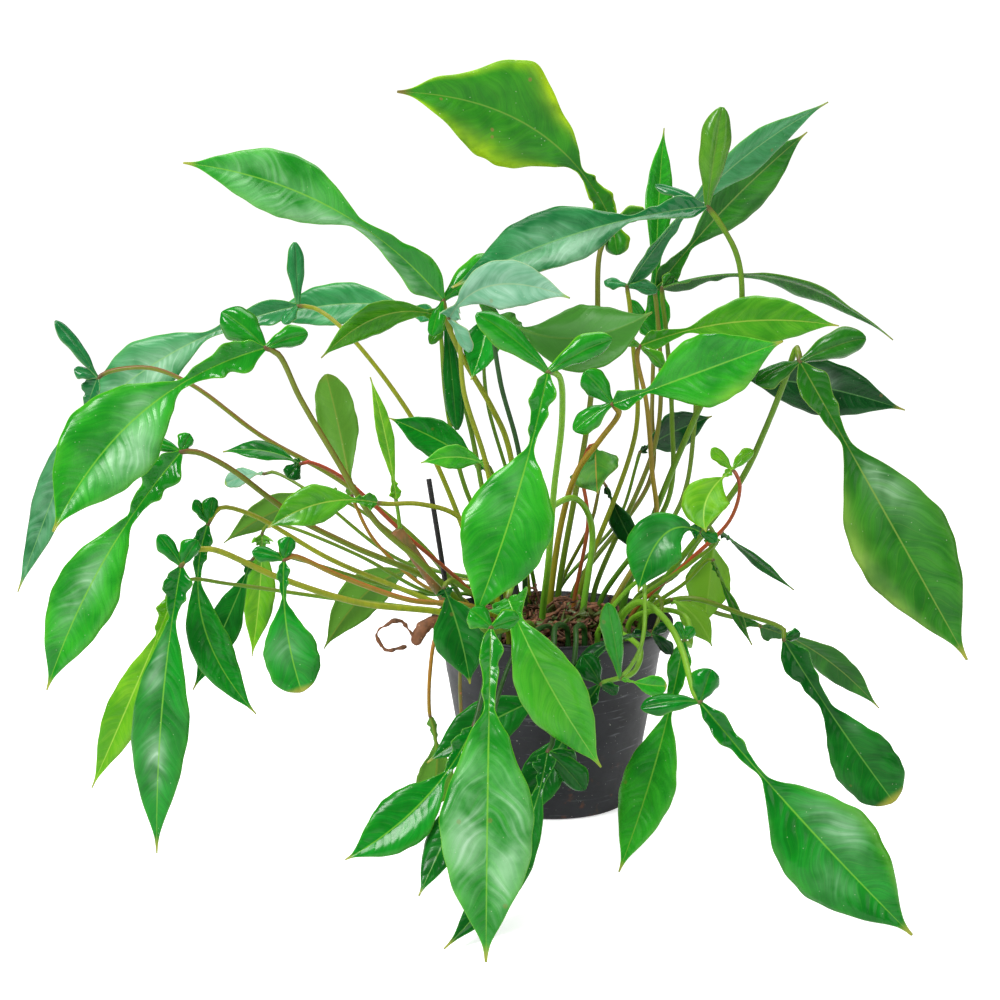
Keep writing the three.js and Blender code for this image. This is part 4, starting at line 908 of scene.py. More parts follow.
    Leaf("leaf_front_short", Size.MEDIUM, Look.DEEP, wide=25, turn=4, neck_wide=2, knee=(444, 588, -150),
         neck=(448, 598, -152), tip=(470, 684, -170), stalk=((450, 580, -140), (466, 590, -118)), root=(-32, -58)),
    Leaf("leaf_front_long", Size.LARGE, Look.FRESH, wide=37, turn=0, wavy=0.8, quilt=1.2, neck_wide=0.72,
         knee=(491, 628, -300), neck=(489, 716, -338), tip=(486, 962, -390), ears=(Ear((519, 618, -296), 9, 30),
         Ear((470, 610, -296), 11, 20)), stalk=((484, 621, -266), (483, 628, -222), (494, 632, -180),
         (516, 626, -140)), root=(-20, -80), shape=(Mark(0.31, 0.0, 0.07, 9.0, 0.9),),
         painted_sheen=(Mark(0.62, 0.5, 0.16, 0.45, 0.9), Mark(0.68, -0.5, 0.18, 0.45, 0.9))),
    Leaf("leaf_front_bright", Size.LARGE, Look.BRIGHT, wide=29, turn=6, twist=8, neck_wide=2.2, quilt=1.6,
         knee=(508, 598, -196), neck=(518, 622, -212), tip=(601, 767, -238), stalk=((512, 584, -188),
         (524, 552, -156), (546, 512, -90), (574, 498, -60), (592, 528, -26)), root=(30, -18), skin=Skin.LIGHT),
    Leaf("leaf_front_low_dark", Size.MEDIUM, Look.DEEP, wide=22, turn=10, neck_wide=1.4, knee=(562, 690, -176),
         neck=(536, 700, -182), tip=(427, 763, -206), stalk=((572, 672, -168), (576, 642, -146), (576, 628, -118)),
         root=(28, -80), skin=Skin.DARK),
    Leaf("leaf_front_dull", Size.SMALL, Look.BACK, wide=17, turn=176, blunt=True, knee=(430, 716, -150),
         neck=(436, 742, -152), tip=(428, 806, -156), stalk=((429, 704, -150), (430, 672, -142), (436, 636, -130),
         (450, 618, -116)), root=(-60, -68), skin=Skin.ORANGE),
    Leaf("leaf_front_floor_left", Size.MEDIUM, Look.MIDDLE, wide=24, turn=8, neck_wide=1.3, quilt=0.4,
         knee=(474, 726, -250), neck=(444, 776, -262), tip=(345, 860, -288), stalk=((478, 712, -242),
         (488, 668, -214), (497, 644, -160), (502, 628, -126)), root=(-38, -84), skin=Skin.DARK),
    Leaf("leaf_front_floor_mid", Size.SMALL, Look.DEEP, wide=17, turn=30, knee=(478, 762, -262),
         neck=(464, 796, -270), tip=(419, 896, -306), stalk=((484, 750, -256), (500, 690, -226), (520, 644, -166),
         (540, 628, -126)), root=(-2, -86), skin=Skin.DARK),
    Leaf("leaf_front_floor_back", Size.MEDIUM, Look.DEEP, wide=20, turn=18, knee=(548, 752, -232),
         neck=(540, 790, -252), tip=(444, 949, -366), ears=(Ear((584, 790, -226), 12, 20),
         Ear((574, 764, -222), 9, 30)), stalk=((552, 744, -226), (554, 700, -200), (554, 642, -156),
         (556, 626, -124)), root=(12, -86), skin=Skin.DARK),
    Leaf("leaf_front_wide", Size.MEDIUM, Look.DEEP, wide=19, turn=10, knee=(600, 684, -196), neck=(566, 736, -204),
         tip=(516, 826, -222), ears=(Ear((582, 656, -192), 13, 20), Ear((616, 694, -190), 7, 40)),
         stalk=((612, 680, -188), (634, 672, -166), (640, 648, -138)), root=(42, -80), node="leaves_front_right",
         skin=Skin.LIGHT),
    Leaf("leaf_front_arched", Size.SMALL, Look.DARK, wide=11, turn=50, knee=(652, 635, -172), neck=(618, 640, -176),
         tip=(566, 692, -182), ears=(Ear((668, 626, -170), 5, 20), Ear((672, 654, -174), 6, 20)),
         stalk=((656, 626, -158), (662, 606, -126), (656, 596, -92)), root=(86, -52)),
    Leaf("leaf_front_ears", Size.SMALL, Look.FRESH, wide=9, turn=10, blunt=True, knee=(620, 678, -232),
         neck=(634, 682, -232), tip=(667, 686, -234), ears=(Ear((607, 603, -236), 9, 10),), stalk=((628, 670, -226),
         (641, 646, -206), (645, 600, -160), (640, 580, -120)), root=(42, -80), node="leaves_front_right",
         skin=Skin.LIGHT),
    # Lower right
    Leaf("leaf_right_low", Size.MEDIUM, Look.FRESH, wide=25, turn=4, twist=8, wavy=0.4, knee=(684, 640, -168),
         neck=(668, 716, -178), tip=(619, 872, -212), ears=(Ear((694, 628, -164), 6, 20),
         Ear((676, 622, -166), 6, 30)), stalk=((690, 646, -160), (688, 620, -142), (668, 610, -114)), root=(72, -56),
         skin=Skin.LIGHT),
    Leaf("leaf_right_front", Size.LARGE, Look.MIDDLE, wide=41, turn=4, wavy=1.0, quilt=2.6, neck_wide=0.75,
         knee=(700, 702, -286), neck=(766, 780, -312), tip=(912, 935, -352), ears=(Ear((641, 708, -276), 9, 20),
         Ear((711, 669, -282), 12, 16)), stalk=((694, 692, -276), (682, 650, -230), (664, 618, -174),
         (640, 602, -128)), root=(60, -72), skin=Skin.LIGHT, painted_sheen=(Mark(0.58, -0.5, 0.11, 0.35, 0.5),
         Mark(0.7, 0.4, 0.07, 0.25, 0.25)), glow=(Mark(0.7, -1.0, 0.2, 0.2, 0.7),)),
    Leaf("leaf_right_blunt", Size.MEDIUM, Look.DEEP, wide=30, turn=6, blunt=True, neck_wide=1.6, wavy=0.5,
         knee=(784, 640, -112), neck=(826, 706, -122), tip=(894, 802, -144), ears=(Ear((800, 634, -106), 6, 30),),
         stalk=((784, 630, -106), (742, 614, -92), (686, 598, -76)), root=(86, -40),
         painted_sheen=(Mark(0.5, -0.6, 0.05, 0.25, 0.15),)),
    Leaf("leaf_right_low_back", Size.MEDIUM, Look.DULL, wide=18, turn=30, neck_wide=1.4, wavy=0.4,
         knee=(760, 626, 20), neck=(788, 636, 37), tip=(879, 708, 64), ears=(Ear((736, 620, 20), 6, 30),),
         stalk=((752, 622, 24), (720, 614, 13), (684, 602, 9)), root=(88, 10)),
]


# The viewpoint


@dataclass(frozen=True)
class Viewpoint:
    """The place that the leaf spots are seen from, and the camera that stands there."""

    eye: Spot = (-0.051, -1.5, 0.54)
    pitch: float = 9.2
    focal: float = 1555.0
    middle: float = 500.0
    lens: float = 55.98

    def place(self, spot: Spot) -> np.ndarray:
        """Turns a spot in the picture at a known depth into a place.

        Args:
            spot: Pixels across, pixels down and millimetres of depth.

        Returns:
            The place as x, y, z.
        """
        across, down, depth = spot[0], spot[1], spot[2] / MM
        pitch = math.radians(self.pitch)
        away = depth - self.eye[1]
        slope = (self.middle - down) / self.focal
        climb = (slope * math.cos(pitch) - math.sin(pitch)) / (math.cos(pitch) + slope * math.sin(pitch))
        lift = away * climb
        reach = away * math.cos(pitch) - lift * math.sin(pitch)
        return np.array([self.eye[0] + (across - self.middle) * reach / self.focal, depth, self.eye[2] + lift])

    def camera(self) -> None:
        """Makes the camera and hands it to the scene."""
        data = bpy.data.cameras.new("camera")
        data.lens = self.lens
        data.sensor_width = 36.0
        data.clip_start = 0.05
        data.clip_end = 30.0
        made = new_object("camera", data)
        made.location = self.eye
        made.rotation_euler = (math.radians(90 - self.pitch), 0, 0)
        bpy.context.scene.camera = made


VIEW = Viewpoint()


# Meshes


@dataclass
class Shell:
    """Points, faces and attributes that grow into one mesh."""

    points: list[np.ndarray] = field(default_factory=list)
    faces: Faces = field(default_factory=list)
    slots: list[int] = field(default_factory=list)
    traits: dict[str, list[np.ndarray]] = field(default_factory=dict)
    count: int = 0

    def add(self, slot: int, points: np.ndarray, faces: Faces, traits: Traits) -> None:
        """Adds a closed part.

        Args:
            slot: The material slot of the part.
            points: Places, one row each.
            faces: Corner numbers of each face.
            traits: For each attribute, one row of three values for each point.
        """
        self.points.append(points)
        self.faces += [[corner + self.count for corner in one] for one in faces]
        self.slots += [slot] * len(faces)
        for name, rows in traits.items():
            self.traits.setdefault(name, []).append(rows)
        self.count += len(points)

    def build(self, name: str, materials: Sequence[bpy.types.Material]) -> bpy.types.Object:
        """Makes the object.

        Args:
            name: The piece's name.
            materials: Its materials, in the order of the slots.

        Returns:
            The object, linked to the scene.
        """
        mesh = bpy.data.meshes.new(name)
        mesh.from_pydata(np.concatenate(self.points).tolist(), [], self.faces)
        for material in materials:
            mesh.materials.append(material)
        mesh.polygons.foreach_set("material_index", self.slots)
        mesh.polygons.foreach_set("use_smooth", [True] * len(self.faces))
        for label, rows in self.traits.items():
            attribute = mesh.attributes.new(label, "FLOAT_VECTOR", "POINT")
            attribute.data.foreach_set("vector", np.concatenate(rows).astype(np.float32).ravel())
        mesh.validate()
        return new_object(name, mesh)


def plate(upper: np.ndarray, lower: np.ndarray) -> tuple[np.ndarray, Faces]:
    """Closes two grids of points into a thin plate whose faces point out.

    Args:
        upper: Rows and columns of places on the upper side.
        lower: The same for the lower side.

    Returns:
        The points and the faces.
    """
    rows, columns = upper.shape[:2]
    size = rows * columns
    faces = []
    for r in range(rows - 1):
        for c in range(columns - 1):
            a = r * columns + c
            ring = [a, a + 1, a + columns + 1, a + columns]
            faces.append(ring)
            faces.append([size + corner for corner in reversed(ring)])
    border = list(range(columns))
    border += [r * columns + columns - 1 for r in range(1, rows)]
    border += [(rows - 1) * columns + c for c in range(columns - 2, -1, -1)]
    border += [r * columns for r in range(rows - 2, 0, -1)]
    for i, here in enumerate(border):
        following = border[(i + 1) % len(border)]
        faces.append([following, here, size + here, size + following])
    points = np.concatenate([upper.reshape(-1, 3), lower.reshape(-1, 3)])
    middle = rows // 2 * columns + columns // 2
    a, b, c = points[middle], points[middle + 1], points[middle + columns]
    if np.dot(np.cross(b - a, c - a), points[middle] - points[size + middle]) < 0:
        faces = [one[::-1] for one in faces]
    return points, faces


def bezier(first: np.ndarray, pull: np.ndarray, last: np.ndarray,
           shares: np.ndarray) -> tuple[np.ndarray, np.ndarray, float]:
    """Reads a quadratic curve at shares of its length.

    Args:
        first: Start of the curve.
        pull: Its middle control point.
        last: End of the curve.
        shares: Shares of the length from 0 to 1.

    Returns:
        The places, the directions and the curve's length.
    """
    t = np.linspace(0, 1, 401)[:, None]
    fine = (1 - t) ** 2 * first + 2 * t * (1 - t) * pull + t**2 * last
    steps = np.concatenate([[0], np.cumsum(np.linalg.norm(np.diff(fine, axis=0), axis=1))])
    at = np.interp(shares, steps / steps[-1], t[:, 0])[:, None]
    places = (1 - at) ** 2 * first + 2 * at * (1 - at) * pull + at**2 * last
    along = 2 * (1 - at) * (pull - first) + 2 * at * (last - pull)
    return places, unit(along), float(steps[-1])


def through(points: Sequence[np.ndarray], step: float) -> np.ndarray:
    """Lays a smooth centripetal line through places.

    Args:
        points: Places that the line passes.
        step: Distance between the line's own points.

    Returns:
        The line's points, the given places among them.
    """
    stops = [np.asarray(point, float) for point in points]
    padded = [2 * stops[0] - stops[1], *stops, 2 * stops[-1] - stops[-2]]
    line = [stops[0]]
    for i in range(len(stops) - 1):
        p0, p1, p2, p3 = padded[i : i + 4]
        d0, d1, d2 = (max(math.sqrt(np.linalg.norm(b - a)), 1e-4) for a, b in ((p0, p1), (p1, p2), (p2, p3)))
        leave = ((p1 - p0) / d0 - (p2 - p0) / (d0 + d1) + (p2 - p1) / d1) * d1
        arrive = ((p2 - p1) / d1 - (p3 - p1) / (d1 + d2) + (p3 - p2) / d2) * d1
        count = max(1, round(float(np.linalg.norm(p2 - p1)) / step))
        for k in range(1, count + 1):
            t = k / count
            rest = 1 - t
            line.append(p1 * (1 + 2 * t) * rest * rest + leave * t * rest * rest
                        + p2 * t * t * (3 - 2 * t) - arrive * t * t * rest)
    return np.array(line)


class ShapeTree:
    """A Geometry Nodes tree with named inputs, which ends in real instances and a set material."""

    def __init__(self, name: str, carrier: str, takes: dict[str, str]) -> None:
        """Starts the tree.

        Args:
            name: The tree's name.
            carrier: Name of the geometry that comes in.
            takes: For each plain input, its socket kind.
        """
        tree = bpy.data.node_groups.new(name, "GeometryNodeTree")
        self.sockets = {}
        for label, kind in ({carrier: "Geometry"} | takes | {"Finish": "Material"}).items():
            made = tree.interface.new_socket(name=label, in_out="INPUT", socket_type="NodeSocket" + kind)
            self.sockets[label] = made.identifier
        tree.interface.new_socket(name="Piece", in_out="OUTPUT", socket_type="NodeSocketGeometry")
        self.board = Board(tree)
        self.into = self.board.node("NodeGroupInput").outputs

    def end(self, shape: Feed) -> None:
        """Makes a shape's instances real, sets its material and gives it out.

        Args:
            shape: The shape that the tree has made.
        """
        real = self.board.out("GeometryNodeRealizeInstances", {"Geometry": shape})
        feeds = {"Geometry": real, "Material": self.into["Finish"]}
        self.board.node("NodeGroupOutput", {0: self.board.out("GeometryNodeSetMaterial", feeds)})

    def put_on(self, carrier: bpy.types.Object, values: dict[str, Any]) -> None:
        """Puts the tree on an object as a modifier.

        Args:
            carrier: The object.
            values: A value for each named input.
        """
        modifier = carrier.modifiers.new(self.board.tree.name, "NODES")
        modifier.node_group = self.board.tree
        for label, value in values.items():
            modifier[self.sockets[label]] = value


class TubeMaker(ShapeTree):
    """Sweeps round tubes along paths with a Geometry Nodes tree."""

    def __init__(self) -> None:
        """Builds the tree."""
        super().__init__("tube_along_path", "Path", {"Sides": "Int", "Knobs": "Float", "Knob scale": "Float"})
        board, into = self.board, self.into
        feeds = {"Geometry": into["Path"], "Name": "share", "Value": board.out("GeometryNodeSplineParameter")}
        kept = board.out("GeometryNodeStoreNamedAttribute", feeds, data_type="FLOAT")
        radius = board.out("GeometryNodeInputNamedAttribute", {"Name": "girth"}, data_type="FLOAT")
        ring = board.out("GeometryNodeCurvePrimitiveCircle", {"Resolution": into["Sides"], "Radius": 1.0})
        feeds = {"Curve": kept, "Profile Curve": ring, "Scale": radius, "Fill Caps": True}
        swept = board.out("GeometryNodeCurveToMesh", feeds)
        lumps = board.out("ShaderNodeTexNoise", {"Scale": into["Knob scale"], "Detail": 1.0})
        self.end(board.push(swept, board.out("GeometryNodeInputNormal"), (lumps - 0.5) * into["Knobs"]))

    def sweep(self, line: np.ndarray, radii: np.ndarray, sides: int, finish: bpy.types.Material,
              knobs: float = 0.0, knob_scale: float = 60.0) -> tuple[np.ndarray, Faces, np.ndarray]:
        """Makes one tube.

        Args:
            line: Places along the path.
            radii: The tube's radius at each place.
            sides: Corners of its section.
            finish: Its material.
            knobs: Height of the knobs on its surface.
            knob_scale: How close together the knobs are.

        Returns:
            The tube's points, its faces, and each point's share of the way.
        """
        mesh = bpy.data.meshes.new("path")
        mesh.from_pydata(line.tolist(), [(i, i + 1) for i in range(len(line) - 1)], [])
        girth = mesh.attributes.new("girth", "FLOAT", "POINT")
        girth.data.foreach_set("value", radii.astype(np.float32))
        carrier = new_object("path", mesh)
        carrier.modifiers.new("path", "NODES").node_group = curve_from_edges()
        self.put_on(carrier, {"Sides": sides, "Knobs": knobs, "Knob scale": knob_scale, "Finish": finish})
        graph = bpy.context.evaluated_depsgraph_get()
        plain = bpy.data.meshes.new_from_object(carrier.evaluated_get(graph))
        carrier.modifiers.clear()
        points = np.empty(len(plain.vertices) * 3, np.float32)
        plain.vertices.foreach_get("co", points)
        shares = np.empty(len(plain.vertices), np.float32)
        plain.attributes["share"].data.foreach_get("value", shares)
        faces = [list(polygon.vertices) for polygon in plain.polygons]
        bpy.data.objects.remove(carrier)
        bpy.data.meshes.remove(mesh)
        bpy.data.meshes.remove(plain)
        return points.reshape(-1, 3).astype(float), faces, shares.astype(float)


def curve_from_edges() -> bpy.types.NodeTree:
    """Gives the small tree that turns a line of edges into a curve, built once.

    Returns:
        The tree.
    """
    name = "edges_to_curve"
    if name in bpy.data.node_groups:
        return bpy.data.node_groups[name]
    tree = bpy.data.node_groups.new(name, "GeometryNodeTree")
    for way in ("INPUT", "OUTPUT"):
        tree.interface.new_socket(name="Line", in_out=way, socket_type="NodeSocketGeometry")
    board = Board(tree)
    curve = board.out("GeometryNodeMeshToCurve", {"Mesh": board.out("NodeGroupInput")})
    board.node("NodeGroupOutput", {0: curve})
    return tree


def settle(piece: bpy.types.Object, slot: str, *nodes: str) -> None:
    """Rides a finished piece on the body and hides the CAD nodes that it stands for.

    Args:
        piece: The finished piece.
        slot: The record's material slot; not used.
        nodes: CAD nodes that the piece replaces.
    """
    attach(piece, BODY)
    if nodes:
        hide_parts(*nodes)
    log.info("%s: %d faces", piece.name, len(piece.data.polygons))


# Leaves


@dataclass
class Blades:
    """Turns leaf data into thin, waved, veined plates."""

    neck_end: float = 0.32
    neck_blend: tuple[float, float] = (-0.04, 0.1)
    neck_fold: float = 32
    neck_ruffle: float = 0.2
    ruffle_lift: float = 0.3
    ruffle_step: float = 0.16 / 3
    lobe_fold: float = 16
    lobe_wave: float = 0.1
    margin_curl: float = 0.14
    bulge: float = 0.1
    ear_arch: float = 0.1
    ear_bulge: float = 0.26
    ear_roll: float = 0.3
    thin: float = 0.00042
    rib_height: float = 0.0007
    rib_reach: float = 0.0018
    quilt: float = 0.00042
    uneven_veins: float = 0.0026
    thin_end: float = 0.0005
    drip_outline: tuple[tuple[float, float, float], ...] = (
        (0, 0.008, 0), (0.08, 0.056, 0), (0.14, 0.047, 0), (0.22, 0.03, 0), (0.31, 0.017, 0),
        (0.39, 0.008, 0.34), (0.48, 0, 0.74), (0.56, 0, 0.95), (0.63, 0, 1), (0.72, 0, 0.9),
        (0.8, 0, 0.68), (0.88, 0, 0.36), (0.94, 0, 0.12), (0.97, 0, 0.05), (1, 0, 0.02),
    )
    blunt_outline: tuple[tuple[float, float, float], ...] = (
        (0, 0.008, 0), (0.08, 0.056, 0), (0.14, 0.047, 0), (0.22, 0.034, 0), (0.32, 0.022, 0),
        (0.42, 0.01, 0.3), (0.52, 0, 0.66), (0.62, 0, 0.92), (0.72, 0, 1), (0.82, 0, 0.95),
        (0.9, 0, 0.8), (0.96, 0, 0.52), (0.985, 0, 0.3), (1, 0, 0.08),
    )
    ear_outline: tuple[tuple[float, float], ...] = (
        (0, 0.15), (0.15, 0.36), (0.35, 0.72), (0.55, 0.98), (0.72, 1), (0.86, 0.8), (0.95, 0.48), (1, 0.12),
    )

    @staticmethod
    def columns(count: int) -> np.ndarray:
        """Spreads columns from margin to margin, closer together near the rib and the margins."""
        t = np.linspace(-1, 1, 2 * count + 1)
        return np.sign(t) * (0.55 * np.abs(t) ** 1.6 + 0.45 * (1 - (1 - np.abs(t)) ** 1.3))

    def rib(self, leaf: Leaf, shares: np.ndarray) -> tuple[np.ndarray, np.ndarray, float]:
        """Lays the rib through knee, neck and tip.

        Args:
            leaf: The leaf.
            shares: Shares of the blade from knee to tip.

        Returns:
            The places, directions and length of the rib.
        """
        knee, neck, tip = (VIEW.place(spot) for spot in (leaf.knee, leaf.neck, leaf.tip))
        first = np.linalg.norm(neck - knee)
        share = first / (first + np.linalg.norm(tip - neck))
        rest = 1 - share
        pull = (neck - rest * rest * knee - share * share * tip) / (2 * share * rest)
        near = shares * share / self.neck_end
        far = 1 - (1 - shares) * (1 - share) / (1 - self.neck_end)
        return bezier(knee, pull, tip, np.where(shares < self.neck_end, near, far))

    @staticmethod
    def facing(places: np.ndarray, along: np.ndarray, turns: np.ndarray) -> tuple[np.ndarray, np.ndarray]:
        """Finds the blade's own directions along a rib.

        Args:
            places: Places on the rib.
            along: Directions of the rib.
            turns: Degrees that the blade is turned about the rib.

        Returns:
            The directions out of the upper face and across the blade.
        """
        look = unit(np.array(VIEW.eye) - places)
        out = unit(look - along * np.sum(look * along, axis=1, keepdims=True))
        side = np.cross(along, out)
        angle = np.radians(turns)[:, None]
        out = out * np.cos(angle) + side * np.sin(angle)
        return out, np.cross(along, out)

    def solid(self, places: np.ndarray, out: np.ndarray, across: np.ndarray, x: np.ndarray, z: np.ndarray,
              thick: np.ndarray) -> tuple[np.ndarray, Faces]:
        """Gives a section's points their thickness and closes the plate.

        Args:
            places: Places on the rib.
            out: Directions out of the upper face.
            across: Directions across the blade.
            x: Distance across, by row and column.
            z: Distance out, by row and column.
            thick: Half the thickness, by row and column.

        Returns:
            The points and faces of the plate.
        """
        dx, dz = np.gradient(x, axis=1), np.gradient(z, axis=1)
        size = np.maximum(np.hypot(dx, dz), 1e-12)
        nx, nz = -dz / size, dx / size
        sides = []
        for sign in (1, -1):
            shift = sign * thick
            sides.append(places[:, None] + across[:, None] * (x + shift * nx)[..., None]
                         + out[:, None] * (z + shift * nz)[..., None])
        return plate(sides[0], sides[1])

    def blade(self, leaf: Leaf) -> Part:
        """Builds the ruffled neck and the long lobe.

        Args:
            leaf: The leaf.

        Returns:
            Points, faces and attributes.
        """
        rows, half_columns, _ = leaf.size.value
        p = np.linspace(0, 1, rows)
        v = self.columns(half_columns)[None, :]
        places, along, length = self.rib(leaf, p)
        out, across = self.facing(places, along, leaf.turn + leaf.twist * p)
        outline = self.blunt_outline if leaf.blunt else self.drip_outline
        lobe = ease(p, self.neck_end + self.neck_blend[0], self.neck_end + self.neck_blend[1])
        wave = np.minimum(1, p / self.ruffle_step) * np.sin(np.pi * p / self.ruffle_step)
        wave = wave + 0.3 * np.sin(1.9 * np.pi * p / self.ruffle_step + leaf.seed)
        wide = smooth(outline, p, 1) * length * leaf.neck_wide + smooth(outline, p, 2) * (leaf.wide / MM)
        p, lobe, wave, wide = (row[:, None] for row in (p, lobe, wave, wide))
        uneven = 0.75 + 0.35 * np.sin(29 * p + leaf.seed + np.sign(v))
        ruffle = (1 - lobe) * wave * np.sign(v) * leaf.wavy * uneven
        ripple = lobe * (0.02 * np.sin(31 * p + leaf.seed + 2 * np.sign(v)) + 0.012 * np.sin(67 * p + 2 * leaf.seed))
        shape = sum((mark.mask(p, np.sign(v)) for mark in leaf.shape), np.zeros_like(p * v))
        half = np.maximum(wide * (1 + self.neck_ruffle * ruffle + ripple + shape), self.thin_end)
        fold = np.radians(self.neck_fold + (self.lobe_fold - self.neck_fold) * lobe)
        swell = lobe * self.lobe_wave * np.sin(9 * p + leaf.seed + np.where(v > 0, 1.7, 0))
        small = lobe * 0.05 * np.sin(23 * p + 2 * leaf.seed + np.where(v > 0, 0.6, 2.1)) * np.abs(v)
        lift = np.sin(fold) - self.margin_curl * np.abs(v) ** 1.5 + swell * np.abs(v) + small
        lift = lift + self.ruffle_lift * ruffle * np.abs(v) + self.bulge * lobe * np.sin(np.pi * np.abs(v))
        x = half * v * np.cos(fold)
        distance = np.broadcast_to(p * length, x.shape)
        distance = distance + self.uneven_veins * np.sin(distance * 190 + leaf.seed + 1.3 * np.sign(v))
        reach = np.abs(half * v)
        phase = (distance - reach * (VEIN_SLANT + VEIN_BEND * np.abs(v))) / VEIN_STEP
        quilted = np.abs(np.sin(np.pi * phase)) * np.sin(np.pi * np.clip(np.abs(v), 0, 1)) ** 0.7
        relief = self.quilt * leaf.quilt * quilted * np.minimum(1, half / 0.014) * (0.6 + 0.4 * lobe)
        z = half * np.abs(v) * lift + relief
        thick = self.thin + self.rib_height * np.exp(-((reach / self.rib_reach) ** 2)) * (1 - 0.7 * p)
        points, faces = self.solid(places, out, across, x, z, thick)
        glow = sum((mark.mask(p, v) for mark in leaf.glow), np.zeros_like(x))
        # Painted sheen: patches where the blade's colour is lightened as if it shone
        painted_sheen = sum((mark.mask(p, v) for mark in leaf.painted_sheen), np.zeros_like(x))
        traits = self.traits(distance, half * v, v, p, 0.0, leaf, glow, painted_sheen)
        return points, faces, traits

    def ear(self, leaf: Leaf, one: Ear) -> Part:
        """Builds one rounded, cupped ear.

        Args:
            leaf: The leaf.
            one: The ear.

        Returns:
            Points, faces and attributes.
        """
        p = np.linspace(0, 1, 30)
        v = self.columns(6)[None, :]
        knee, tip = VIEW.place(leaf.knee), VIEW.place(one.tip)
        middle = (knee + tip) / 2
        middle[2] += self.ear_arch * np.linalg.norm(tip - knee)
        places, along, length = bezier(knee, middle, tip, p)
        out, across = self.facing(places, along, np.full(len(p), float(one.turn)))
        half = (smooth(self.ear_outline, p, 1) * (one.wide / MM))[:, None]
        p = p[:, None]
        wavy = 1 + 0.05 * np.sin(17 * p + leaf.seed + np.sign(v))
        x = half * v * wavy * math.cos(0.25)
        z = half * (self.ear_bulge * np.sin(np.pi * np.abs(v)) - self.ear_roll * np.abs(v) ** 2.4)
        z = z + 0.001 * np.sin(12 * p + leaf.seed + np.sign(v)) * np.abs(v)
        reach = np.abs(half * v)
        thick = self.thin + self.rib_height * 0.8 * np.exp(-((reach / self.rib_reach) ** 2)) * (1 - 0.6 * p)
        points, faces = self.solid(places, out, across, x, z, thick)
        none = np.zeros_like(x)
        traits = self.traits(np.broadcast_to(p * length, x.shape), half * v, v, p, 1.0, leaf, none, none)
        return points, faces, traits

    @staticmethod
    def traits(distance: np.ndarray, reach: np.ndarray, v: np.ndarray, p: np.ndarray, ear: float, leaf: Leaf,
               glow: np.ndarray, painted_sheen: np.ndarray) -> Traits:
        """Gathers what the leaf's material reads, for both sides of a plate.

        Args:
            distance: Metres along the rib.
            reach: Metres across from the rib.
            v: Share of the way from rib to margin, signed.
            p: Share of the blade from knee to tip.
            ear: 1 on an ear and 0 on the blade.
            leaf: The leaf.
            glow: Strength of the yellow patches.
            painted_sheen: Strength of the pale patches.

        Returns:
            The three attributes of the leaf.
        """
        shape = distance.shape
        full = [np.broadcast_to(item, shape).ravel() for item in (distance, reach, v, p, glow, painted_sheen)]
        flat = np.ones(full[0].size)
        tone = flat * (math.sin(leaf.seed * 3.1) * 0.5 + 0.5)
        return {
            "leaf_place": np.tile(np.stack(full[:3], axis=1), (2, 1)),
            "leaf_state": np.concatenate([np.stack([full[3], flat * side, flat * ear], axis=1) for side in (0, 1)]),
            "leaf_marks": np.tile(np.stack([*full[4:], tone], axis=1), (2, 1)),
        }


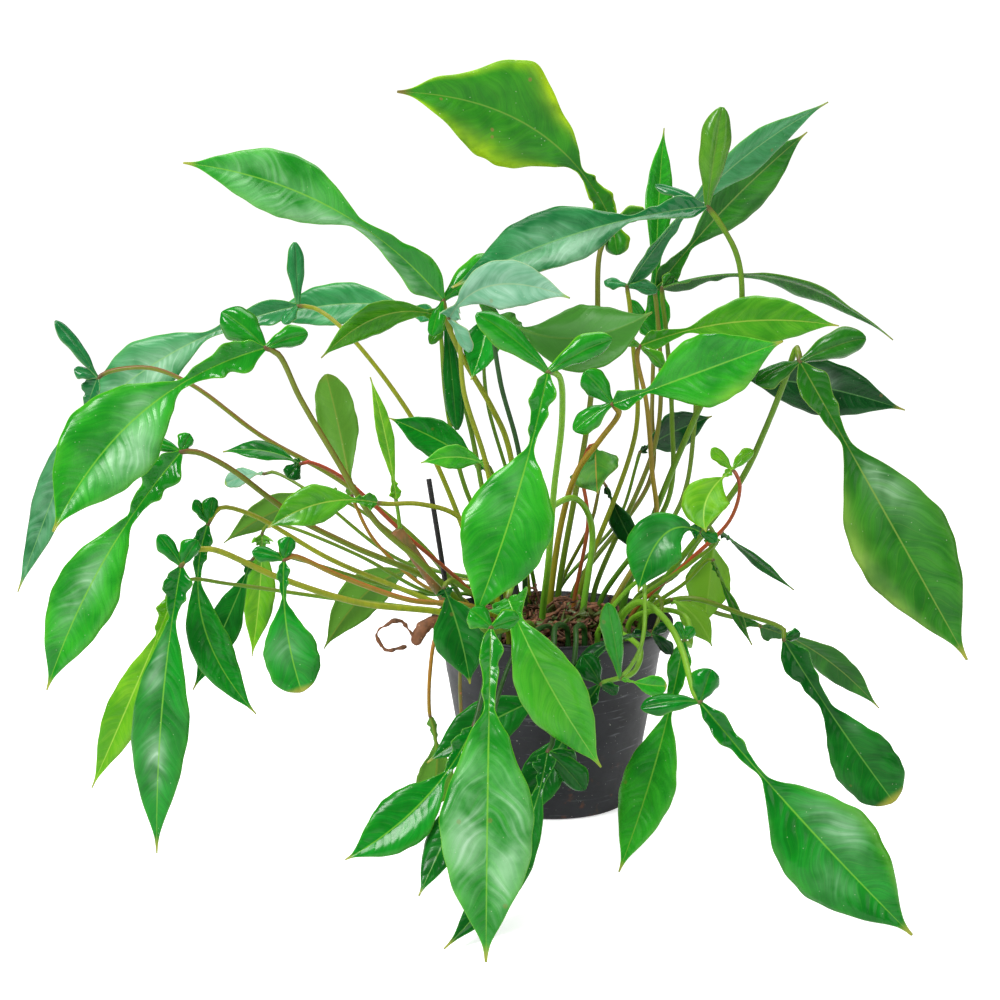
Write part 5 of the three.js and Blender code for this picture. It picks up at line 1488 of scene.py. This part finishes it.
@dataclass
class Foliage:
    """Every leaf with its stalk, one piece for each CAD node."""

    groups: ShaderGroups
    tubes: TubeMaker
    blades: Blades = field(default_factory=Blades)
    root_low: float = 0.153
    stalk_rise: float = 0.187
    knee_reach: float = 0.0012
    stalk_step: float = 0.007
    stalk_sides: int = 12
    base_girth: float = 1.2
    end_girth: float = 0.9
    swell: float = 0.12
    swell_at: float = 0.965
    swell_reach: float = 0.02
    knobs: float = 0.0004
    knob_scale: float = 70.0

    def stalk(self, leaf: Leaf, finish: bpy.types.Material) -> Part:
        """Builds a stalk from its root to the knee.

        Args:
            leaf: The leaf.
            finish: The stalk's material.

        Returns:
            Points, faces and attributes.
        """
        root = [part / MM for part in leaf.root]
        rise = (self.root_low, self.stalk_rise)
        low = [np.array(root)] if len(root) == 3 else [np.array([*root, z]) for z in rise]
        knee = VIEW.place(leaf.knee)
        _, along, _ = self.blades.rib(leaf, np.array([0.0]))
        stops = [*low, *(VIEW.place(spot) for spot in reversed(leaf.stalk)), knee, knee + along[0] * self.knee_reach]
        line = through(stops, self.stalk_step)
        steps = np.concatenate([[0], np.cumsum(np.linalg.norm(np.diff(line, axis=0), axis=1))])
        share = steps / steps[-1]
        girth = self.base_girth + (self.end_girth - self.base_girth) * share
        girth = girth * (1 + self.swell * np.exp(-(((share - self.swell_at) / self.swell_reach) ** 2)))
        points, faces, shares = self.tubes.sweep(line, girth * leaf.size.value[2], self.stalk_sides, finish,
                                                 self.knobs, self.knob_scale)
        none = np.zeros_like(shares)
        thick = np.interp(shares, share, girth) * leaf.size.value[2]
        up = np.clip((points[:, 2] - np.interp(shares, share, line[:, 2])) / thick, -1, 1)
        traits = {
            "leaf_place": np.stack([shares * steps[-1], none, none], axis=1),
            "leaf_state": np.stack([shares, none, none], axis=1),
            "leaf_marks": np.stack([up, none, none + 0.5], axis=1),
        }
        return points, faces, traits

    def build(self) -> None:
        """Builds every leaf node and settles it on the body."""
        looks = {look: look.value.build(self.groups) for look in Look}
        skins = {skin: skin.value.build(self.groups) for skin in Skin}
        for node in dict.fromkeys(leaf.piece for leaf in LEAVES):
            shell = Shell()
            materials = []
            for leaf in (one for one in LEAVES if one.piece == node):
                first = len(materials)
                materials += [looks[leaf.look], skins[leaf.skin]]
                shell.add(first, *self.blades.blade(leaf))
                shell.add(first + 1, *self.stalk(leaf, materials[-1]))
                for one in leaf.ears:
                    if one.look:
                        materials.append(looks[one.look])
                    shell.add(len(materials) - 1 if one.look else first, *self.blades.ear(leaf, one))
            settle(shell.build("fine_" + node, materials), SLOTS[node], node)


# Pot, soil and wood


@dataclass
class Pot:
    """The thin-walled nursery pot, turned from its profile."""

    groups: ShaderGroups
    rim_radius: float = 0.120
    height: float = 0.180
    base_radius: float = 0.082
    wall: float = 0.0022
    floor: float = 0.006
    foot: float = 0.004
    band_height: float = 0.026
    band_step: float = 0.0032
    lip: float = 0.0042
    band_round: float = 0.003
    sides: int = 144
    ring_depth: float = 0.0005
    ring_reach: float = 0.0012
    rings_at: tuple[float, float] = (0.128, 0.03)

    def wall_at(self, height: float) -> float:
        """Outer radius of the plain wall at a height."""
        top = self.rim_radius - self.band_step - self.lip
        return self.base_radius + (top - self.base_radius) * height / self.height

    def profile(self) -> list[tuple[float, float]]:
        """Draws the pot's section.

        Returns:
            Radius and height, up the outside and down the inside.
        """
        base, rim, top, foot = self.base_radius, self.rim_radius, self.height, self.foot
        band = top - self.band_height
        edge, low = self.wall_at(band), band + self.band_round
        step = edge + self.band_step
        rows = [(0.0, 0.0), (0.03, 0.0), (base - 0.012, 0.0), (base - foot, 0.0), (base - 0.0012, 0.0008),
                (base, foot)]
        for share in np.linspace(0.05, 0.97, 34):
            z = foot + (band - foot) * share
            ring = self.ring_depth * sum(math.exp(-(((z - at) / self.ring_reach) ** 2)) for at in self.rings_at)
            rows.append((self.wall_at(z) + ring, z))
        rows += [(edge, band - 0.0006), (edge + 0.0006, band), (edge + self.band_step * 0.75, band + 0.0008),
                 (step, low)]
        for share in (0.2, 0.45, 0.7, 0.9):
            rows.append((step + (rim - step) * share, low + (top - self.band_round - low) * share))
        rows += [(rim, top - self.band_round), (rim - 0.0003, top - 0.0009), (rim - 0.0012, top),
                 (rim - self.lip + 0.0006, top), (rim - self.lip, top - 0.0006), (step - self.wall, low + 0.001),
                 (edge - self.wall, band + 0.001), (self.wall_at(0.09) - self.wall, 0.09),
                 (base - self.wall, self.floor), (0.03, self.floor), (0.0, self.floor)]
        return rows

    @staticmethod
    def tree() -> ShapeTree:
        """Builds the tree that turns a profile about the upright axis.

        Returns:
            The tree.
        """
        made = ShapeTree("turned_pot", "Strip", {"Full turn": "Float", "Weld": "Float"})
        board, into = made.board, made.into
        radius, share, z = board.split(board.out("GeometryNodeInputPosition"))
        angle = share * into["Full turn"]
        turned = board.join(radius * board.math("COSINE", angle), radius * board.math("SINE", angle), z)
        moved = board.out("GeometryNodeSetPosition", {"Geometry": into["Strip"], "Position": turned})
        made.end(board.out("GeometryNodeMergeByDistance", {"Geometry": moved, "Distance": into["Weld"]}))
        return made

    def build(self) -> None:
        """Builds the pot and settles it on the body."""
        rows = self.profile()
        points = [(radius, j / self.sides, z) for j in range(self.sides + 1) for radius, z in rows]
        strip = bpy.data.meshes.new("pot_strip")
        strip.from_pydata(points, [], squares(self.sides + 1, len(rows)))
        carrier = new_object("pot_strip", strip)
        finish = PotFinish().build(self.groups)
        self.tree().put_on(carrier, {"Full turn": 2 * math.pi, "Weld": 0.00001, "Finish": finish})
        settle(bake(carrier, "fine_pot"), "pot", "pot")


def bake(carrier: bpy.types.Object, name: str) -> bpy.types.Object:
    """Turns an object with a Geometry Nodes modifier into a plain piece.

    Args:
        carrier: The object that carries the modifier; it is removed.
        name: The new piece's name.

    Returns:
        The piece, smooth-shaded and linked to the scene.
    """
    graph = bpy.context.evaluated_depsgraph_get()
    mesh = bpy.data.meshes.new_from_object(carrier.evaluated_get(graph))
    carrier.modifiers.clear()
    bpy.data.objects.remove(carrier)
    mesh.name = name
    mesh.polygons.foreach_set("use_smooth", [True] * len(mesh.polygons))
    return new_object(name, mesh)


@dataclass
class Soil:
    """The growing mix in the pot, whose top the litter lies on."""

    groups: ShaderGroups
    pot: Pot
    level: float = 0.166
    edge: float = 0.152
    bump: float = 0.003
    fit: float = 0.0008
    waist: float = 0.08
    rings: int = 40
    sides: int = 96
    lumps: float = 0.004

    def top(self, x: float, y: float) -> float:
        """Finds the height of the soil's top.

        Args:
            x: The place's x.
            y: The place's y.

        Returns:
            The height.
        """
        radius, angle = math.hypot(x, y), math.atan2(y, x)
        swell = math.sin(3 * angle + radius * 90) * math.sin(radius * 50 + 1)
        rough = noise.fractal(Vector((x * 60, y * 60, 0.3)), 0.7, 2.0, 4)
        reach = radius / self.reach(self.edge)
        plain = self.level + self.bump * swell + self.lumps * rough
        return plain + (self.edge + 0.002 - plain) * float(ease(np.array(reach), 0.55, 1.0))

    def reach(self, height: float) -> float:
        """Radius that the soil fills at a height."""
        return self.pot.wall_at(height) - self.pot.wall - self.fit

    def ring(self, radius: float) -> list[tuple[float, float]]:
        """Gives the places of one ring of points, in x and y."""
        angles = [2 * math.pi * j / self.sides for j in range(self.sides)]
        return [(radius * math.cos(angle), radius * math.sin(angle)) for angle in angles]

    def build(self) -> None:
        """Builds the closed body of soil and settles it."""
        low = self.pot.floor + self.fit
        points = [(0.0, 0.0, self.top(0.0, 0.0))]
        for i in range(1, self.rings + 1):
            ring = self.ring(self.reach(self.edge) * i / self.rings)
            points += [(x, y, self.top(x, y) if i < self.rings else self.edge) for x, y in ring]
        for height in (self.waist, low):
            points += [(x, y, height) for x, y in self.ring(self.reach(height) - self.fit)]
        points.append((0.0, 0.0, low))
        last = 1 + (self.rings + 1) * self.sides
        faces = []
        for j in range(self.sides):
            k = (j + 1) % self.sides
            faces += [[0, 1 + j, 1 + k], [len(points) - 1, last + k, last + j]]
            faces += [[a + j, a + self.sides + j, a + self.sides + k, a + k] for a in range(1, last, self.sides)]
        shell = Shell()
        shell.add(0, np.array(points), faces, {})
        finish = RoughFinish("soil_mix", "3a281c", "1f150f", "6b5038", scale=140.0, relief=0.003, flecks=0.3)
        settle(shell.build("fine_soil", [finish.build(self.groups)]), "soil", "soil")


class Scrap:
    """The small shapes that lie on the soil, each one unit long, as nodes."""

    @staticmethod
    def chip(board: Board) -> Wire:
        """Makes a flat chunk of bark.

        Args:
            board: The board of the tree.

        Returns:
            The mesh.
        """
        block = board.out("GeometryNodeMeshCube", {"Size": (1.0, 0.55, 0.28), "Vertices X": 4, "Vertices Y": 3,
                                                   "Vertices Z": 2})
        return board.push(block, board.wander({"Scale": 2.6}), 0.7)

    @classmethod
    def root(cls, board: Board) -> Wire:
        """Makes a thin dry root."""
        return cls.strand(board, 5, 0.016)

    @classmethod
    def stub(cls, board: Board) -> Wire:
        """Makes the rest of an old stalk."""
        return cls.strand(board, 7, 0.02)

    @staticmethod
    def strand(board: Board, sides: int, radius: float) -> Wire:
        """Makes a round strand.

        Args:
            board: The board of the tree.
            sides: Corners of its section.
            radius: Its radius.

        Returns:
            The strand's mesh.
        """
        line = board.out("GeometryNodeCurvePrimitiveLine", {0: (-0.5, 0.0, 0.0), 1: (0.5, 0.0, 0.0)})
        cut = board.out("GeometryNodeResampleCurve", {"Curve": line, "Count": 12})
        ring = board.out("GeometryNodeCurvePrimitiveCircle", {"Resolution": sides, "Radius": radius})
        return board.out("GeometryNodeCurveToMesh", {"Curve": cut, "Profile Curve": ring, "Fill Caps": True})

    @staticmethod
    def scale(board: Board) -> Wire:
        """Makes a curled papery scale, standing up.

        Args:
            board: The board of the tree.

        Returns:
            The mesh.
        """
        sheet = board.out("GeometryNodeMeshGrid", {"Size X": 1.0, "Size Y": 0.3, "Vertices X": 8, "Vertices Y": 4})
        x, y, _ = board.split(board.out("GeometryNodeInputPosition"))
        taper = 1.0 - board.math("POWER", abs(x * 1.95), 3.0)
        curled = board.join(x, y * board.math("MAXIMUM", taper, 0.06), y * y * 5.0 + x * x * -0.5)
        bent = board.out("GeometryNodeSetPosition", {"Geometry": sheet, "Position": curled})
        thick = board.out("GeometryNodeExtrudeMesh", {"Mesh": bent, "Offset Scale": 0.02, "Individual": False})
        both = board.node("GeometryNodeJoinGeometry", {0: thick})
        board.feed(both, {0: board.out("GeometryNodeFlipFaces", {"Mesh": bent})})
        return board.out("GeometryNodeMergeByDistance", {"Geometry": both.outputs[0], "Distance": 0.0001})


@dataclass(frozen=True)
class Kind:
    """One kind of litter: its finish, its lean in radians, its round ground and how it is strewn there.

    The ground is its radius, the y of its middle and its height above the soil.
    """

    piece: str
    finish: RoughFinish
    shape: Callable[[Board], Wire]
    lean: float
    ground: Spot
    density: float
    sizes: tuple[float, float]
    seed: int
    bend: float = 0.0


CHIP_GRAIN = (0.4, 1.6, 1.6)
KINDS = (
    Kind("bark_chips", RoughFinish("bark_chip", "4c3222", "2a1c14", "8a6a4c", 160.0, CHIP_GRAIN, flecks=0.2),
         Scrap.chip, 0.5, (0.1, 0.0, 0.001), 22000.0, (0.006, 0.017), 4),
    Kind("bark_light", RoughFinish("bark_pale", "8a6446", "5c402c", "b08c68", 160.0, CHIP_GRAIN, flecks=0.2),
         Scrap.chip, 0.5, (0.1, 0.0, 0.003), 5200.0, (0.004, 0.012), 9),
    Kind("dry_roots", RoughFinish("dry_root", "7c5034", "3f2818", "a87c58", 200.0, relief=0.001, rough=0.75),
         Scrap.root, 0.5, (0.062, -0.01, 0.012), 15000.0, (0.03, 0.065), 5, 0.055),
    Kind("old_stalks", RoughFinish("old_stalk", "46641c", "54421c", "7c8c3c", 90.0, relief=0.0008, rough=0.5,
                                   flecks=0.1),
         Scrap.stub, 0.35, (0.045, -0.01, 0.016), 3800.0, (0.05, 0.09), 12, 0.04),
    Kind("papery_scales", RoughFinish("papery_scale", "94603f", "573722", "b88c64", 110.0, (0.3, 2.0, 2.0), 0.001,
                                      0.7),
         Scrap.scale, 1.1, (0.055, 0.0, 0.012), 5200.0, (0.014, 0.034), 7, 0.02),
)


@dataclass
class Litter:
    """Bark chips, dry roots and papery scales strewn on the soil by Geometry Nodes."""

    groups: ShaderGroups
    soil: Soil
    reach: float = 0.094
    cells: int = 24

    def patch(self, radius: float, middle: float, rise: float) -> bpy.types.Object:
        """Makes a small patch of the soil's top that carries the strewn things.

        Args:
            radius: The patch's radius.
            middle: Its middle in y.
            rise: How far above the soil it lies.

        Returns:
            The patch.
        """
        side = np.linspace(-radius, radius, self.cells + 1)
        points = [(x, y + middle, self.soil.top(x, y + middle) + rise) for x in side for y in side]
        faces = []
        for face in squares(len(side), len(side)):
            x, y, _ = points[face[0]]
            if math.hypot(x, y) < self.reach and math.hypot(x, y - middle) < radius:
                faces.append(face)
        mesh = bpy.data.meshes.new("patch")
        mesh.from_pydata(points, [], faces)
        return new_object("patch", mesh)

    @staticmethod
    def tree(name: str, shape: Callable[[Board], Wire], lean: float) -> ShapeTree:
        """Builds a tree that strews one small shape over a patch.

        Args:
            name: The tree's name.
            shape: Makes the shape's nodes and returns its mesh.
            lean: How far, in radians, each one may lean.

        Returns:
            The tree.
        """
        made = ShapeTree(name, "Ground", {"Density": "Float", "Least size": "Float", "Most size": "Float",
                                          "Seed": "Int", "Bend": "Float"})
        board, into = made.board, made.into
        feeds = {"Mesh": into["Ground"], "Density": into["Density"], "Seed": into["Seed"]}
        strewn = board.out("GeometryNodeDistributePointsOnFaces", feeds, "Points", distribute_method="RANDOM")
        feeds = {0: (-lean, -lean, -math.pi), 1: (lean, lean, math.pi), "Seed": into["Seed"]}
        spin = board.out("FunctionNodeRandomValue", feeds, data_type="FLOAT_VECTOR")
        feeds = {2: into["Least size"], 3: into["Most size"], "Seed": into["Seed"]}
        scale = board.out("FunctionNodeRandomValue", feeds, 1, data_type="FLOAT")
        feeds = {"Points": strewn, "Instance": shape(board), "Scale": scale,
                 "Rotation": board.out("FunctionNodeEulerToRotation", {0: spin})}
        set_out = board.out("GeometryNodeInstanceOnPoints", feeds)
        real = board.out("GeometryNodeRealizeInstances", {"Geometry": set_out})
        made.end(board.push(real, board.wander({"Scale": 45.0, "Detail": 1.0}), into["Bend"]))
        return made

    def build(self) -> None:
        """Strews every kind and settles it."""
        trees: dict[Any, ShapeTree] = {}
        for kind in KINDS:
            if kind.shape not in trees:
                trees[kind.shape] = self.tree("strewn_" + kind.piece, kind.shape, kind.lean)
            ground = self.patch(*kind.ground)
            least, most = kind.sizes
            trees[kind.shape].put_on(ground, {
                "Density": kind.density, "Least size": least, "Most size": most, "Seed": kind.seed,
                "Bend": kind.bend, "Finish": kind.finish.build(self.groups)})
            settle(bake(ground, kind.piece), "soil")


@dataclass(frozen=True)
class Run:
    """A round run of wood through places, with its first and last radius."""

    line: tuple[Spot, ...]
    radii: tuple[float, float]


@dataclass(frozen=True)
class WoodPiece:
    """A stem or stake made of runs."""

    name: str
    slot: str
    finish: RoughFinish
    runs: tuple[Run, ...]
    sides: int = 18
    rounded: bool = False
    knobs: float = 0.0
    knob_scale: float = 60.0


BARK = RoughFinish("stem_bark", "8a5838", "4c3420", "b88864", scale=90.0, stretch=(1.0, 1.0, 0.6), relief=0.0012,
                   rough=0.7)
GREEN_BARK = RoughFinish("stem_green", "9a6438", "5c6424", "c08c5c", scale=80.0, stretch=(1.0, 1.0, 0.4),
                         relief=0.0008, rough=0.55)
HANGING_BARK = RoughFinish("hanging_stem", "5c7c24", "944c20", "b06c3c", scale=60.0, stretch=(1.0, 1.0, 0.3),
                           relief=0.0005, rough=0.45)
BLACK_CANE = RoughFinish("black_cane", "1d1c1f", "2c2a2e", "57504c", scale=180.0, stretch=(1.0, 1.0, 0.15),
                         relief=0.0006, rough=0.5, flecks=0.08)

WOOD = (
    WoodPiece("crown", "stem", BARK, (
        Run(((-0.016, 0.024, 0.150), (-0.012, 0.025, 0.170), (0.008, 0.028, 0.176), (0.030, 0.036, 0.173),
             (0.040, 0.044, 0.152)), (0.008, 0.007)),), knobs=0.005, knob_scale=90.0),
    WoodPiece("stem_left", "stem", GREEN_BARK, (
        Run(((-0.096, -0.022, 0.152), (-0.098, -0.024, 0.190), (-0.118, -0.030, 0.226), (-0.150, -0.034, 0.274)),
            (0.0055, 0.006)),), knobs=0.002, knob_scale=80.0),
    WoodPiece("rhizome", "stem", BARK, (
        Run(((-0.084, -0.046, 0.152), (-0.088, -0.048, 0.180), (-0.106, -0.058, 0.190), (-0.124, -0.068, 0.186),
             (-0.131, -0.072, 0.170)), (0.005, 0.0065)),
        Run(((-0.131, -0.072, 0.176), (-0.146, -0.080, 0.196), (-0.166, -0.084, 0.184), (-0.158, -0.082, 0.168),
             (-0.140, -0.078, 0.170)), (0.0016, 0.0012))), rounded=True, knobs=0.007, knob_scale=120.0),
    WoodPiece("stem_hanging", "stem", HANGING_BARK, (
        Run(((-0.058, -0.084, 0.152), (-0.061, -0.088, 0.184), (-0.078, -0.104, 0.188), (-0.087, -0.108, 0.160),
             (-0.084, -0.104, 0.060)), (0.002, 0.0016)),), sides=12),
    WoodPiece("stake_tall", "stake", BLACK_CANE, (
        Run(((-0.097, 0.012, 0.150), (-0.108, 0.012, 0.230), (-0.121, 0.012, 0.316)), (0.0026, 0.0026)),)),
    WoodPiece("stake_short", "stake", BLACK_CANE, (
        Run(((-0.034, -0.012, 0.150), (-0.035, -0.012, 0.190), (-0.037, -0.012, 0.226)), (0.0028, 0.0028)),)),
)


@dataclass
class Wood:
    """The crown, the stems and the stakes."""

    groups: ShaderGroups
    tubes: TubeMaker
    step: float = 0.0015
    round_end: float = 1.3

    def build(self) -> None:
        """Builds each woody piece and settles it on the body."""
        finishes = {kind: kind.build(self.groups) for kind in dict.fromkeys(wood.finish for wood in WOOD)}
        for wood in WOOD:
            finish = finishes[wood.finish]
            shell = Shell()
            for run in wood.runs:
                line = through([np.array(point) for point in run.line], self.step)
                share = np.linspace(0, 1, len(line))
                radii = run.radii[0] + (run.radii[1] - run.radii[0]) * share
                left = np.linalg.norm(line - line[-1], axis=1) / (self.round_end * run.radii[1])
                if wood.rounded:
                    radii = radii * np.sqrt(np.clip(1 - (1 - np.minimum(left, 1)) ** 2, 0.04, 1))
                points, faces, _ = self.tubes.sweep(line, radii, wood.sides, finish, wood.knobs, wood.knob_scale)
                shell.add(0, points, faces, {})
            settle(shell.build("fine_" + wood.name, [finish]), wood.slot, wood.name)


@dataclass
class Studio:
    """Floor, soft lights, sky and camera."""

    floor_size: float = 12.0
    sky: float = 0.6
    sheen: float = 0.1
    backdrop: float = 1.1
    floor_glow: float = 0.55
    key_power: float = 46.0
    fill_power: float = 10.0
    top_power: float = 22.0

    def floor(self) -> None:
        """Lays a plain pale floor."""
        half = self.floor_size / 2
        corners = ((-half, -half), (half, -half), (half, half), (-half, half))
        mesh = bpy.data.meshes.new("floor")
        mesh.from_pydata([(x, y, -0.0005) for x, y in corners], [], [(0, 1, 2, 3)])
        made, board, shader = new_material("floor_pale")
        glow = board.out("ShaderNodeLightPath", None, "Is Camera Ray") * self.floor_glow
        board.feed(shader, {"Base Color": (0.93, 0.93, 0.93, 1), "Roughness": 0.9, "Specular IOR Level": 0.1,
                            "Emission Color": (1, 1, 1, 1), "Emission Strength": glow})
        mesh.materials.append(made)
        new_object("floor", mesh)

    def light(self, name: str, place: Spot, aim: Spot, size: float, power: float) -> None:
        """Hangs one soft square light.

        Args:
            name: Its name.
            place: Where it hangs.
            aim: Where it points.
            size: Its side in metres.
            power: Its power in watts.
        """
        data = bpy.data.lights.new(name, "AREA")
        data.shape = "SQUARE"
        data.size = size
        data.energy = power
        made = new_object(name, data)
        made.location = place
        made.rotation_euler = (Vector(aim) - Vector(place)).to_track_quat("-Z", "Y").to_euler()

    def world(self) -> None:
        """Fills the room with soft light and shows white behind the plant."""
        world = bpy.data.worlds.new("studio")
        world.use_nodes = True
        world.node_tree.nodes.clear()
        board = Board(world.node_tree)
        soft, shiny, seen = (board.out("ShaderNodeBackground", {"Color": (1, 1, 1, 1), "Strength": strength})
                             for strength in (self.sky, self.sheen, self.backdrop))
        path = board.node("ShaderNodeLightPath").outputs
        mixed = board.out("ShaderNodeMixShader", {0: path["Is Glossy Ray"], 1: soft, 2: shiny})
        mixed = board.out("ShaderNodeMixShader", {0: path["Is Camera Ray"], 1: mixed, 2: seen})
        board.node("ShaderNodeOutputWorld", {"Surface": mixed})
        bpy.context.scene.world = world

    def build(self) -> None:
        """Sets up the whole studio."""
        self.floor()
        self.world()
        middle = (-0.05, 0.0, 0.35)
        self.light("key_light", (-1.3, -1.2, 1.9), middle, 0.8, self.key_power)
        self.light("fill_light", (1.7, -1.3, 1.0), middle, 1.4, self.fill_power)
        self.light("top_light", (0.1, 0.5, 2.0), middle, 1.5, self.top_power)
        VIEW.camera()
        bpy.context.scene.view_settings.view_transform = "Standard"


def main() -> None:
    """Builds every piece, from the studio to the smallest litter."""
    logging.basicConfig(level=logging.INFO, format="%(name)s: %(message)s")
    Studio().build()
    groups = ShaderGroups()
    tubes = TubeMaker()
    pot = Pot(groups)
    pot.build()
    soil = Soil(groups, pot)
    soil.build()
    Litter(groups, soil).build()
    Wood(groups, tubes).build()
    Foliage(groups, tubes).build()
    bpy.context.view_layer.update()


if __name__ == "__main__":
    main()
